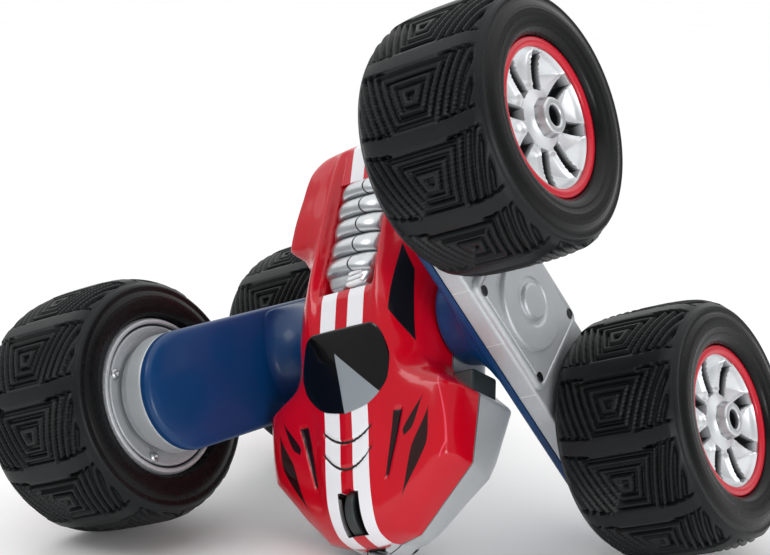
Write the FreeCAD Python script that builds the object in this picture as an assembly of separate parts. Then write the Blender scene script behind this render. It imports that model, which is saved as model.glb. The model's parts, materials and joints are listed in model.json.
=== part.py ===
import FreeCAD, Part
import math
import os

# Radio-controlled tumbling stunt car, in millimetres and degrees.
#
# Three groups hang on one cross axis: the fuselage in the middle and a geared swing arm on each
# side, with a balloon wheel at both ends of each arm.
#
# Fuselage frame: X to the car's right, -Y to the nose, +Z up, origin on the cross axis.
# Arm frame: X outwards along the cross axis, -Y to the front wheel, +Z up, origin on the axis.
# Wheel frame: X outwards along the axle, origin in the wheel's middle plane.
# Row frame: the car standing on three tyres, +Z up, origin under the middle of its box.

os.makedirs("parts", exist_ok=True)

Vector = FreeCAD.Vector
X_AXIS = Vector(1, 0, 0)
Y_AXIS = Vector(0, 1, 0)
Z_AXIS = Vector(0, 0, 1)
ORIGIN = Vector(0, 0, 0)

# ---- driving dimensions -----------------------------------------------------------------------

tyre_diameter = 112.0
tyre_width = 63.3
half_wheelbase = 83.5
hood_half_width = 52.5
waist_half_width = 37.0
waist_half_length = 27.0
fender_half_width = 47.0
nose_reach = 106.0
tail_reach = 90.0
belly_clear = 5.2
seam_z = 6.0

# Standing pose: how far each arm's front end is turned up from straight ahead.
left_arm_angle = 62.04
right_arm_angle = -58.90

# Walls and clearances
shell_wall = 2.0
seam_gap = 0.2
insert_gap = 0.3
sweep_gap = 3.0
tyre_gap = 1.65
running_fit = 0.06
pin_fit = 0.05
moving_gap = 0.6
side_play = 0.4

# Gear train, from the motor on the cross axis to each wheel
pinion_teeth = 10
reduction_teeth = 30
reduction_small_teeth = 14
idler_teeth = 28
wheel_gear_teeth = 34
pressure_angle = 25.0
addendum_modules = 0.8
dedendum_modules = 1.05
backlash = 0.25
gear_face = 3.6
gear_layer_gap = 1.0
gear_room = 4.13
gear_pin_radius = 2.0
gear_neck_radius = 5.0
axle_pin_radius = 2.5

# Swing arm
arm_wall = 2.0
inner_cover_depth = 5.0
outer_cover_depth = 10.0
plate_rise = 2.5
disc_rise = 2.5
boss_rise = 1.5
boss_radius = 8.5
drum_step = 2.5
collar_step = 1.0
collar_taper = 4.5
hub_wall = 2.0
hub_reach = 8.5
retainer_lip = 3.5
retainer_width = 1.4
retainer_groove = 0.8
bush_wall = 3.4
bush_length = 5.0
bush_flange = 1.6
bush_flange_width = 1.2
arm_screw_y = 25.0
arm_screw_inset = 5.2

# Motor
motor_radius = 9.7
motor_length = 25.0
motor_shaft_radius = 1.0
motor_nose_radius = 3.0

# Wheel
side_inset = 4.0
barrel_radius = 33.5
barrel_wall = 3.0
back_plate_radius = 35.7
back_plate_width = 3.0
bead_fit = 0.2
tyre_crown_wall = 3.5
tyre_side_wall = 5.0
ring_inner_radius = 29.3
ring_width = 2.0
face_setback = 7.0
face_width = 3.0
spoke_count = 8
slot_inner_radius = 12.5
slot_outer_radius = 27.5
slot_width = 5.0
wheel_hub_radius = 9.0
wheel_hub_stand = 3.0
sleeve_radius = 6.0
hex_flats = 10.0
hex_length = 12.0
hub_bore_radius = 4.5
hub_web = 3.0
back_screw_circle = 28.5
back_screw_count = 4
screw_shank_radius = 1.1
screw_head_radius = 2.5
screw_head_height = 1.6

# Fuselage inserts
engine_half_width = 15.0
engine_front_y = 8.0
engine_back_y = 68.0
engine_rib_count = 5
engine_rib_radius = 5.6
canopy_y = -31.0
canopy_half_width = 25.0
canopy_half_length = 19.0
canopy_rise = 0.8
ridge_width = 7.0
ridge_rise = 5.0
roller_half_width = 5.0
nose_roller_radius = 12.7
nose_roller_y = -88.0
nose_roller_z = 14.5
chin_roller_radius = 9.0
chin_roller_y = -92.0
chin_roller_z = -14.0
roller_pin_radius = 1.5
cheek_width = 2.5
lip_width = 1.5
lip_half_width = 24.0
battery_length = 58.0
battery_half_width = 16.0
battery_height = 17.0
battery_front_y = -6.0
door_margin = 4.0
door_thickness = 2.5
door_screw_setback = 5.0
board_length = 38.0
board_half_width = 21.0
board_thickness = 1.6
board_front_y = -74.0
control_y = -50.0
control_x = 20.0
switch_travel = 4.0
socket_radius = 4.0
socket_bore_radius = 1.75
socket_depth = 9.0
socket_length = 12.0
shell_screw_places = [(28.0, -62.0), (29.0, 60.0)]
boss_outer_radius = 3.6
boss_screw_radius = 1.25
boss_head_radius = 2.6
boss_head_height = 2.0

# ---- sizes worked out from the driving dimensions -----------------------------------------------

tyre_radius = tyre_diameter / 2
# Outer tyre profile: (share of the width from the middle plane, share of the radius)
TYRE_PROFILE = [(0.0, 1.0), (0.30, 0.995), (0.42, 0.96), (0.47, 0.90), (0.50, 0.80)]

train_teeth = (
    pinion_teeth + reduction_teeth + reduction_small_teeth + 2 * idler_teeth + wheel_gear_teeth
)
gear_module = 2 * half_wheelbase / train_teeth
reduction_y = gear_module * (pinion_teeth + reduction_teeth) / 2
idler_y = reduction_y + gear_module * (reduction_small_teeth + idler_teeth) / 2

arm_half_width = gear_module * (wheel_gear_teeth / 2 + 1) + gear_room + arm_wall
arm_inner_x = hood_half_width + sweep_gap
arm_seam_x = arm_inner_x + inner_cover_depth
arm_deck_x = arm_seam_x + outer_cover_depth
arm_plate_x = arm_deck_x + plate_rise
arm_disc_x = arm_plate_x + disc_rise
wheel_inner_x = arm_deck_x + tyre_gap
wheel_centre_x = wheel_inner_x + tyre_width / 2
track = 2 * wheel_centre_x
back_plate_x = wheel_inner_x + side_inset
drum_x = back_plate_x - moving_gap
drum_radius = arm_half_width - drum_step
arm_cavity_x = arm_inner_x + arm_wall
arm_roof_x = arm_deck_x - arm_wall
inner_layer_x = arm_cavity_x + 1.9
outer_layer_x = inner_layer_x + gear_face + gear_layer_gap
collar_face_x = waist_half_width + moving_gap
collar_radius = arm_half_width - collar_step
collar_face_radius = collar_radius - collar_taper
hub_end_x = collar_face_x - moving_gap - hub_reach
bush_outer_x = collar_face_x - side_play
bush_inner_x = bush_outer_x - bush_length
motor_bore_radius = motor_radius + insert_gap
hub_radius = motor_bore_radius + hub_wall
bush_radius = hub_radius + bush_wall
belly_z = -(bush_radius + bush_flange + belly_clear)
retainer_x = bush_inner_x - side_play - retainer_width
door_screw_y = battery_front_y + battery_length + door_screw_setback
arm_screw_z = arm_half_width - arm_screw_inset

swing_split = left_arm_angle - right_arm_angle
cross_tilt = math.degrees(
    math.atan2(half_wheelbase * math.sin(math.radians(swing_split)), track)
)


def tyre_radius_at(offset):
    """Outer radius of the tyre at a distance from its middle plane."""
    share = abs(offset) / tyre_width
    for (u0, v0), (u1, v1) in zip(TYRE_PROFILE, TYRE_PROFILE[1:]):
        if share <= u1:
            return tyre_radius * (v0 + (v1 - v0) * (share - u0) / (u1 - u0))
    return 0.0


plate_half_length = half_wheelbase - tyre_radius_at(wheel_centre_x - arm_plate_x) - 1.0
disc_radius = 0.68 * plate_half_length

# ---- small helpers ------------------------------------------------------------------------------


def box(x0, x1, y0, y1, z0, z1):
    return Part.makeBox(x1 - x0, y1 - y0, z1 - z0, Vector(x0, y0, z0))


def rod_x(y, z, radius, x0, x1):
    return Part.makeCylinder(radius, x1 - x0, Vector(x0, y, z), X_AXIS)


def rod_z(x, y, radius, z0, z1):
    return Part.makeCylinder(radius, z1 - z0, Vector(x, y, z0), Z_AXIS)


def polygon_face(points):
    return Part.Face(Part.makePolygon(points + points[:1]))


def prism_x(outline, x0, x1):
    """A (y, z) outline drawn out along X."""
    return polygon_face([Vector(x0, y, z) for y, z in outline]).extrude(Vector(x1 - x0, 0, 0))


def prism_z(outline, z0, z1):
    """An (x, y) outline drawn out along Z."""
    return polygon_face([Vector(x, y, z0) for x, y in outline]).extrude(Vector(0, 0, z1 - z0))


def turned(profile):
    """A closed (x, radius) profile turned about the X axis."""
    return polygon_face([Vector(x, r, 0) for x, r in profile]).revolve(ORIGIN, X_AXIS, 360)


def ring_x(y, z, inner, outer, x0, x1):
    return rod_x(y, z, outer, x0, x1).cut(rod_x(y, z, inner, x0, x1))


def united(shapes):
    return shapes[0].multiFuse(shapes[1:]).removeSplitter()


def both_sides(shape):
    return [shape, shape.mirror(ORIGIN, X_AXIS)]


def inset(outline, distance):
    """Moves each edge of a closed counter-clockwise outline inwards by the distance."""
    count = len(outline)
    moved = []
    for i in range(count):
        (ax, ay), (bx, by), (cx, cy) = outline[i - 1], outline[i], outline[(i + 1) % count]
        ux, uy = bx - ax, by - ay
        vx, vy = cx - bx, cy - by
        lu, lv = math.hypot(ux, uy), math.hypot(vx, vy)
        n1 = (-uy / lu, ux / lu)
        n2 = (-vy / lv, vx / lv)
        scale = distance / (1 + n1[0] * n2[0] + n1[1] * n2[1])
        moved.append((bx + scale * (n1[0] + n2[0]), by + scale * (n1[1] + n2[1])))
    return moved


# ---- fuselage envelope --------------------------------------------------------------------------

# Plan of the right half: shares of the half width and of the reach, nose first.
HOOD_PLAN = [
    (0.17, 0.98), (0.42, 0.905), (0.69, 0.785), (0.88, 0.645),
    (0.975, 0.51), (1.0, 0.40), (0.92, 0.305),
]
FENDER_PLAN = [(0.93, 0.38), (1.0, 0.48), (0.90, 0.73), (0.81, 0.93), (0.57, 0.985), (0.17, 1.0)]
# Height and plan scale at each level of the envelope
LEVELS = [(belly_z, 0.90), (belly_z + 6, 0.98), (seam_z, 1.0), (24.0, 0.985), (34.0, 0.78), (46.0, 0.45)]


def plan_outline():
    right = [(hood_half_width * u, -nose_reach * v) for u, v in HOOD_PLAN]
    right.append((waist_half_width, -waist_half_length))
    right.append((waist_half_width, waist_half_length))
    right += [(fender_half_width * u, tail_reach * v) for u, v in FENDER_PLAN]
    left = [(-x, y) for x, y in reversed(right)]
    return right + left


def side_outline():
    """Side view of the fuselage, (y, z), counter-clockwise seen along -X."""
    nose = nose_reach
    tail = tail_reach
    return [
        (-nose, -2.0), (-0.87 * nose, -10.0), (-0.57 * nose, belly_z), (0.67 * tail, belly_z),
        (tail, -14.0), (tail, 27.0), (0.67 * tail, 31.0), (0.33 * tail, 36.0), (4.0, 40.5),
        (-0.15 * nose, 40.0), (-0.43 * nose, 34.0), (-0.57 * nose, 32.0), (-0.755 * nose, 29.5),
        (-0.88 * nose, 26.0), (-0.953 * nose, 20.0), (-nose, 4.0),
    ]


def envelope(depth):
    """The fuselage's closed outer form, moved inwards by the depth."""
    base = inset(plan_outline(), depth)
    rings = []
    for z, scale in LEVELS:
        rings.append([Vector(x * scale, y * scale, z) for x, y in base])
    faces = [polygon_face(rings[0]), polygon_face(rings[-1])]
    for low, high in zip(rings, rings[1:]):
        for i in range(len(low)):
            j = (i + 1) % len(low)
            faces.append(polygon_face([low[i], low[j], high[j], high[i]]))
    loft = Part.Solid(Part.makeShell(faces))
    if loft.Volume < 0:
        loft.reverse()
    half = 2 * hood_half_width
    side = prism_x(inset(side_outline(), depth), -half, half)
    return loft.common(side)


def ridges():
    """The two rails that frame the engine cover."""
    low = seam_z + shell_wall
    start = engine_front_y - 14
    rail = [
        (start, low), (tail_reach - 4, low), (tail_reach - 4, 28.0),
        (0.6 * tail_reach, 32.0 + ridge_rise), (12.0, 36.0 + ridge_rise), (start, 38.0),
    ]
    inner = engine_half_width + 1.5
    return both_sides(prism_x(rail, inner, inner + ridge_width))


def roller_slot():
    half = roller_half_width + moving_gap
    back = nose_roller_y + nose_roller_radius + 1.5
    return box(-half, half, -2 * nose_reach, back, -50, 60)


def bush_holes():
    reach = hood_half_width
    return both_sides(rod_x(0, 0, bush_radius + 0.1, bush_inner_x - 6, reach))


def canopy_prism(gap):
    base = Part.Ellipse(Vector(0, canopy_y, 0), canopy_half_width - gap, canopy_half_length - gap)
    face = Part.Face(Part.Wire([base.toShape()]))
    return face.extrude(Vector(0, 0, 60))


def engine_plan(gap):
    half = engine_half_width - gap
    front = engine_front_y + gap
    back = engine_back_y - gap
    return [
        (-0.5 * half, front), (0.5 * half, front), (half, front + 9),
        (0.93 * half, back - 8), (0.6 * half, back), (-0.6 * half, back),
        (-0.93 * half, back - 8), (-half, front + 9),
    ]


outer_form = envelope(0)
inner_form = envelope(shell_wall)
screw_places = [(s * x, y) for x, y in shell_screw_places for s in (1, -1)]


def make_upper_shell():
    body = united([outer_form] + ridges()).cut(inner_form)
    body = body.common(box(-200, 200, -200, 200, seam_z + seam_gap / 2, 100))
    for x, y in screw_places:
        boss = rod_z(x, y, boss_outer_radius, seam_z + seam_gap / 2, 60).common(inner_form)
        body = body.fuse(boss)
        body = body.cut(rod_z(x, y, boss_screw_radius + pin_fit, 0, 20))
    body = body.cut(canopy_prism(0))
    body = body.cut(prism_z(engine_plan(0), seam_z, 60))
    body = body.cut(roller_slot())
    for hole in bush_holes():
        body = body.cut(hole)
    return body.removeSplitter()


def make_lower_shell():
    body = outer_form.cut(inner_form)
    body = body.common(box(-200, 200, -200, 200, -100, seam_z - seam_gap / 2))
    for x, y in screw_places:
        boss = rod_z(x, y, boss_outer_radius, -60, seam_z - seam_gap / 2).common(outer_form)
        body = body.fuse(boss)
    body = body.cut(roller_slot())
    body = body.cut(battery_opening(0))
    link = box(
        -boss_outer_radius, boss_outer_radius, door_screw_y + door_margin + 0.5,
        door_screw_y + 2 * door_margin, belly_z + 1, belly_z + door_thickness + 2,
    )
    body = united([body, door_tab(), link.common(outer_form)] + cheeks())
    body = body.cut(rod_z(0, door_screw_y, boss_screw_radius + pin_fit, -60, seam_z))
    for x, y in screw_places:
        body = body.cut(rod_z(x, y, boss_screw_radius + 0.3, -60, 60))
        body = body.cut(rod_z(x, y, boss_head_radius + 0.3, -60, belly_z + 4))
    for y, z in ((nose_roller_y, nose_roller_z), (chin_roller_y, chin_roller_z)):
        body = body.cut(rod_x(y, z, roller_pin_radius + pin_fit, -20, 20))
    for hole in bush_holes():
        body = body.cut(hole)
    body = body.cut(rod_z(control_x, control_y, socket_radius + 0.1, -60, seam_z - 4))
    slot_x = 2.5 + side_play
    body = body.cut(
        box(
            -control_x - slot_x, -control_x + slot_x,
            control_y - switch_travel / 2 - 2.5 - side_play,
            control_y + switch_travel / 2 + 2.5 + side_play,
            belly_z - 1, belly_z + shell_wall + 1,
        )
    )
    return body.removeSplitter()


def cheeks():
    """The two plates that carry the roller pins."""
    outline = [
        (chin_roller_y - 5, chin_roller_z - 3), (chin_roller_y + 4, chin_roller_z - 4),
        (chin_roller_y + 14, chin_roller_z), (nose_roller_y + 13, nose_roller_z),
        (nose_roller_y + 8, nose_roller_z + 8), (nose_roller_y - 7, nose_roller_z + 6),
        (nose_roller_y - 9, nose_roller_z - 10),
    ]
    inner = roller_half_width + moving_gap
    return both_sides(prism_x(outline, inner, inner + cheek_width))


def battery_opening(gap):
    half = battery_half_width + door_margin - gap
    front = battery_front_y - door_margin + gap
    back = door_screw_y + door_margin - gap
    return box(-half, half, front, back, belly_z - 2, belly_z + door_thickness)


def door_tab():
    """The tab over the door's back edge that its screw bites into."""
    low = belly_z + door_thickness + insert_gap
    back = door_screw_y + 2 * door_margin
    half = boss_outer_radius + 1
    return box(-half, half, door_screw_y - door_margin, back, low, low + 6)


def make_battery_door():
    door = battery_opening(insert_gap).common(outer_form)
    return door.cut(rod_z(0, door_screw_y, boss_screw_radius + pin_fit, belly_z - 3, belly_z + 12))


def make_canopy():
    crown = envelope(-canopy_rise).cut(inner_form)
    return canopy_prism(insert_gap).common(crown).common(box(-50, 50, -80, 20, 24, 60))


def make_engine_cover():
    plan = engine_plan(insert_gap)
    base = prism_z(plan, 20.0, 34.0)
    roof = [
        (engine_front_y, 20.0), (engine_back_y, 20.0), (engine_back_y, 27.0),
        (engine_front_y + 14, 32.0), (engine_front_y, 30.0),
    ]
    base = base.common(prism_x(roof, -engine_half_width, engine_half_width))
    pitch = (engine_back_y - engine_front_y - 14) / engine_rib_count
    ribs = []
    for i in range(engine_rib_count):
        y = engine_front_y + 11 + pitch * (i + 0.5)
        z = 29.5 - 0.1 * (y - engine_front_y)
        half = 0.86 * engine_half_width
        ribs.append(rod_x(y, z, engine_rib_radius, -half, half))
    return united([base] + ribs).common(prism_z(plan, 0, 60))


def make_nose_lip():
    band = envelope(-insert_gap - lip_width).cut(envelope(-insert_gap))
    return band.common(
        box(-lip_half_width, lip_half_width, -2 * nose_reach, -0.86 * nose_reach, -3.0, 5.0)
    )


def make_roller(radius, y, z):
    half = roller_half_width
    groove = 0.8
    profile = [
        (-half, roller_pin_radius + pin_fit), (half, roller_pin_radius + pin_fit),
        (half, radius - 1.5), (half - 1.5, radius), (1.0, radius), (1.0, radius - groove),
        (-1.0, radius - groove), (-1.0, radius), (1.5 - half, radius), (-half, radius - 1.5),
    ]
    roller = turned(profile)
    roller.translate(Vector(0, y, z))
    return roller


def make_roller_pins():
    reach = roller_half_width + moving_gap + cheek_width
    places = ((nose_roller_y, nose_roller_z), (chin_roller_y, chin_roller_z))
    return Part.makeCompound([rod_x(y, z, roller_pin_radius, -reach, reach) for y, z in places])


def make_battery_pack():
    low = belly_z + shell_wall + 1
    back = battery_front_y + battery_length
    pack = box(
        -battery_half_width, battery_half_width, battery_front_y, back, low, low + battery_height
    )
    edges = [e for e in pack.Edges if abs(e.tangentAt(e.FirstParameter).y) > 0.9]
    return pack.makeFillet(3.0, edges)


def make_circuit_board():
    back = board_front_y + board_length
    plate = box(-board_half_width, board_half_width, board_front_y, back, 0, board_thickness)
    chips = [
        box(-12, 2, board_front_y + 8, board_front_y + 20, board_thickness - 0.2, 4.0),
        box(7, 16, board_front_y + 6, board_front_y + 14, board_thickness - 0.2, 6.0),
        rod_z(-14, board_front_y + 28, 3.0, board_thickness - 0.2, 10.0),
        rod_z(13, board_front_y + 26, 3.0, board_thickness - 0.2, 10.0),
    ]
    return united([plate] + chips)


def make_charge_socket():
    low = belly_z
    body = rod_z(control_x, control_y, socket_radius, low, low + socket_length)
    return body.cut(rod_z(control_x, control_y, socket_bore_radius, low - 1, low + socket_depth))


def make_power_switch():
    y = control_y - switch_travel / 2
    top = belly_z + shell_wall
    knob = box(-control_x - 2.5, -control_x + 2.5, y - 2.5, y + 2.5, belly_z - 1.4, top + 1)
    base = box(-control_x - 5, -control_x + 5, y - 5, y + 5, top + side_play, top + side_play + 1.5)
    return united([knob, base])


def body_screw(x, y, low, length):
    head = rod_z(x, y, boss_head_radius, low, low + boss_head_height)
    shank = rod_z(x, y, boss_screw_radius, low, low + length)
    return united([head, shank])


def make_body_screws():
    """The four screws of the shells and the one that holds the battery door."""
    long_screw = seam_z + 12 - belly_z
    screws = [body_screw(x, y, belly_z + 1.5, long_screw) for x, y in screw_places]
    screws.append(body_screw(0, door_screw_y, belly_z - boss_head_height, 9))
    return Part.makeCompound(screws)


def make_bushes():
    tube = ring_x(0, 0, hub_radius + running_fit, bush_radius, bush_inner_x, bush_outer_x)
    flange_out = bush_radius + bush_flange
    flange_end = bush_inner_x + bush_flange_width
    flange = ring_x(0, 0, hub_radius + running_fit, flange_out, bush_inner_x, flange_end)
    return Part.makeCompound(both_sides(united([tube, flange])))


def make_flank_blocks():
    """Rubber stops behind the hood's rear corners."""
    front = -0.36 * nose_reach
    back = -waist_half_length - 1.2
    block = box(waist_half_width + 1.0, 0.93 * hood_half_width, front, back, -9.0, seam_z + 2)
    return Part.makeCompound(both_sides(block.cut(envelope(-0.1))))


# ---- gears --------------------------------------------------------------------------------------


def involute(angle):
    return math.tan(angle) - angle


def gear_outline(teeth, phase):
    """Involute spur gear teeth as a (y, z) outline, one tooth centred on the phase angle."""
    pitch = gear_module * teeth / 2
    slope = math.radians(pressure_angle)
    base = pitch * math.cos(slope)
    tip = pitch + addendum_modules * gear_module
    root = pitch - dedendum_modules * gear_module
    half_pitch = math.pi / (2 * teeth) - backlash / (4 * pitch)

    def half_angle(radius):
        if radius <= base:
            return half_pitch + involute(slope)
        return half_pitch + involute(slope) - involute(math.acos(base / radius))

    start = max(base, root)
    radii = [root] if root < base else []
    radii += [start + (tip - start) * i / 3 for i in range(4)]
    flank = [(r, half_angle(r)) for r in radii]
    points = []
    for tooth in range(teeth):
        middle = phase + 2 * math.pi * tooth / teeth
        for r, half in flank:
            points.append((r * math.cos(middle - half), r * math.sin(middle - half)))
        for r, half in reversed(flank):
            points.append((r * math.cos(middle + half), r * math.sin(middle + half)))
    return points


def gear(teeth, phase, y, x0, x1):
    outline = [(y + py, pz) for py, pz in gear_outline(teeth, phase)]
    return prism_x(outline, x0, x1)


def meshed_phase(teeth_a, phase_a, direction, teeth_b):
    """Phase of gear B so that it meshes with gear A, whose centre is in the given direction back."""
    radius_a = gear_module * teeth_a / 2
    radius_b = gear_module * teeth_b / 2
    pitch_angle = 2 * math.pi / teeth_a
    ahead = ((phase_a - direction) % pitch_angle) * radius_a
    half_pitch = math.pi * gear_module / 2
    return direction + math.pi - (ahead + half_pitch) / radius_b


def train(end):
    """Phases of one half of the train; end is -1 for the front wheel and +1 for the rear one."""
    direction = 0.0 if end > 0 else math.pi
    reduction = meshed_phase(pinion_teeth, 0.0, direction, reduction_teeth)
    idler = meshed_phase(reduction_small_teeth, reduction, direction, idler_teeth)
    wheel = meshed_phase(idler_teeth, idler, direction, wheel_gear_teeth)
    return reduction, idler, wheel


def make_motor_pinion():
    teeth = gear(pinion_teeth, 0.0, 0.0, outer_layer_x, outer_layer_x + gear_face)
    shaft = rod_x(0, 0, motor_shaft_radius, arm_cavity_x - 5, outer_layer_x + gear_face)
    return united([teeth, shaft])


def make_reduction_gear(end):
    phase = train(end)[0]
    y = end * reduction_y
    large = gear(reduction_teeth, phase, y, outer_layer_x, outer_layer_x + gear_face)
    small = gear(reduction_small_teeth, phase, y, inner_layer_x, inner_layer_x + gear_face)
    neck = rod_x(y, 0, gear_neck_radius, inner_layer_x, outer_layer_x + gear_face)
    bore = rod_x(y, 0, gear_pin_radius + running_fit, 0, 200)
    return united([large, small, neck]).cut(bore)


def make_idler_gear(end):
    phase = train(end)[1]
    y = end * idler_y
    body = gear(idler_teeth, phase, y, inner_layer_x, inner_layer_x + gear_face)
    return body.cut(rod_x(y, 0, gear_pin_radius + running_fit, 0, 200))


def make_drive_gear(end):
    """Wheel gear with its sleeve and the hexagon that drives the wheel."""
    phase = train(end)[2]
    y = end * half_wheelbase
    body = gear(wheel_gear_teeth, phase, y, inner_layer_x, inner_layer_x + gear_face)
    sleeve = rod_x(y, 0, sleeve_radius, arm_cavity_x + side_play, back_plate_x)
    corner = hex_flats / math.sqrt(3)
    turns = [math.radians(60 * i) for i in range(6)]
    flats = [(y + corner * math.cos(t), corner * math.sin(t)) for t in turns]
    hexagon = prism_x(flats, drum_x - 1, back_plate_x + hex_length)
    pin_bore = rod_x(y, 0, axle_pin_radius + running_fit, 0, arm_roof_x)
    screw_bore = rod_x(y, 0, screw_shank_radius + pin_fit, back_plate_x, 200)
    return united([body, sleeve, hexagon]).cut(pin_bore).cut(screw_bore)


# ---- swing arm ----------------------------------------------------------------------------------

SCREW_CORNERS = [(sy * arm_screw_y, sz * arm_screw_z) for sy in (-1, 1) for sz in (-1, 1)]


def stadium(radius, x0, x1):
    ends = [rod_x(e * half_wheelbase, 0, radius, x0, x1) for e in (-1, 1)]
    middle = box(x0, x1, -half_wheelbase, half_wheelbase, -radius, radius)
    return united([middle] + ends)


def make_outer_cover():
    body = stadium(arm_half_width, arm_seam_x + seam_gap / 2, arm_deck_x)
    plate_half = arm_half_width - 1
    plate = box(
        arm_deck_x - 1, arm_plate_x, -plate_half_length, plate_half_length, -plate_half, plate_half
    )
    disc = rod_x(0, 0, disc_radius, arm_plate_x - 1, arm_disc_x)
    boss = rod_x(0, 0, boss_radius, arm_disc_x - 1, arm_disc_x + boss_rise)
    drums = [rod_x(e * half_wheelbase, 0, drum_radius, arm_deck_x - 1, drum_x) for e in (-1, 1)]
    body = united([body, plate, disc, boss] + drums)
    body = body.cut(stadium(arm_half_width - arm_wall, arm_seam_x - 1, arm_roof_x))
    posts = [rod_x(y, z, 2.8, arm_seam_x + seam_gap / 2, arm_deck_x - 1) for y, z in SCREW_CORNERS]
    body = united([body] + posts)
    for y, z in SCREW_CORNERS:
        body = body.cut(rod_x(y, z, screw_shank_radius + pin_fit, 0, 200))
        body = body.cut(rod_x(y, z, screw_head_radius + 0.2, arm_deck_x - 2, 200))
    for end in (-1, 1):
        body = body.cut(rod_x(end * half_wheelbase, 0, sleeve_radius + running_fit, 0, 200))
    return body


def make_inner_cover():
    """Blue half of the arm, with its neck, its hub in the fuselage and the moulded gear pins."""
    body = stadium(arm_half_width, arm_inner_x, arm_seam_x - seam_gap / 2)
    body = body.cut(stadium(arm_half_width - arm_wall, arm_cavity_x, arm_seam_x + 1))
    depth = arm_inner_x - collar_face_x
    neck = turned(
        [
            (collar_face_x, 0), (arm_inner_x + 0.5, 0), (arm_inner_x + 0.5, collar_radius),
            (arm_inner_x - 0.12 * depth, collar_radius - 0.5 * collar_taper),
            (arm_inner_x - 0.4 * depth, collar_radius - 0.9 * collar_taper),
            (collar_face_x + 1.5, collar_face_radius), (collar_face_x, collar_face_radius - 1.5),
        ]
    )
    hub = rod_x(0, 0, hub_radius, hub_end_x, collar_face_x + 1)
    body = united([body, neck, hub])
    cavity = ring_x(
        0, 0, motor_bore_radius + arm_wall, collar_face_radius - arm_wall,
        collar_face_x + arm_wall, arm_cavity_x + 0.01,
    )
    body = body.cut(cavity)
    body = body.cut(rod_x(0, 0, motor_bore_radius, hub_end_x - 1, arm_cavity_x - 1.2))
    body = body.cut(rod_x(0, 0, motor_nose_radius + 0.2, hub_end_x - 1, arm_cavity_x + 1))
    groove = ring_x(
        0, 0, hub_radius - retainer_groove, hub_radius + 1,
        retainer_x - 0.1, retainer_x + retainer_width + 0.1,
    )
    body = body.cut(groove)
    pin_top = arm_roof_x - 0.2
    posts = [rod_x(y, z, 2.8, arm_cavity_x - 1, arm_seam_x - seam_gap / 2) for y, z in SCREW_CORNERS]
    for end in (-1, 1):
        for y in (reduction_y, idler_y):
            posts.append(rod_x(end * y, 0, gear_pin_radius, arm_cavity_x - 1, pin_top))
        posts.append(rod_x(end * half_wheelbase, 0, axle_pin_radius, arm_cavity_x - 1, pin_top - 2))
    body = united([body] + posts)
    for y, z in SCREW_CORNERS:
        body = body.cut(rod_x(y, z, screw_shank_radius + pin_fit, arm_cavity_x - 1.5, 200))
    return body


def make_arm_screws():
    low = arm_deck_x - 2
    screws = []
    for y, z in SCREW_CORNERS:
        head = rod_x(y, z, screw_head_radius, low, low + screw_head_height)
        shank = rod_x(y, z, screw_shank_radius, arm_cavity_x - 1, low + 0.5)
        screws.append(united([head, shank]))
    return Part.makeCompound(screws)


def make_motor():
    can_end = arm_cavity_x - 1.4
    can = rod_x(0, 0, motor_radius, can_end - motor_length, can_end)
    nose = rod_x(0, 0, motor_nose_radius, can_end - 1, arm_cavity_x)
    bore = rod_x(0, 0, motor_shaft_radius + running_fit, arm_cavity_x - 6, 200)
    return united([can, nose]).cut(bore)


def make_hub_retainer():
    inner = hub_radius - retainer_groove + 0.1
    return ring_x(0, 0, inner, hub_radius + retainer_lip, retainer_x, retainer_x + retainer_width)


# ---- wheel (wheel frame) ------------------------------------------------------------------------

half_tyre = tyre_width / 2
plate_in = side_inset - half_tyre
ring_out = half_tyre - side_inset
plate_out = plate_in + back_plate_width
barrel_in = plate_out + seam_gap
barrel_out = ring_out - ring_width - seam_gap
hex_end = plate_in + hex_length
web_x = hex_end + 0.3


def make_tyre():
    outer = [(-u * tyre_width, v * tyre_radius) for u, v in reversed(TYRE_PROFILE)]
    outer += [(u * tyre_width, v * tyre_radius) for u, v in TYRE_PROFILE[1:]]
    bead_out = barrel_radius + bead_fit
    bead_in = back_plate_radius + bead_fit
    cavity_half = half_tyre - tyre_side_wall - side_inset
    cavity_radius = tyre_radius - tyre_crown_wall
    shoulder = 0.93 * cavity_radius
    inner = [
        (0.97 * half_tyre, bead_out + 7), (ring_out, bead_out), (cavity_half, bead_out),
        (cavity_half + 2, shoulder), (cavity_half - 7, cavity_radius),
        (7 - cavity_half, cavity_radius), (-cavity_half - 2, shoulder),
        (-cavity_half, bead_in), (plate_in, bead_in), (-0.97 * half_tyre, bead_in + 6),
    ]
    return turned(outer + inner)


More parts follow.
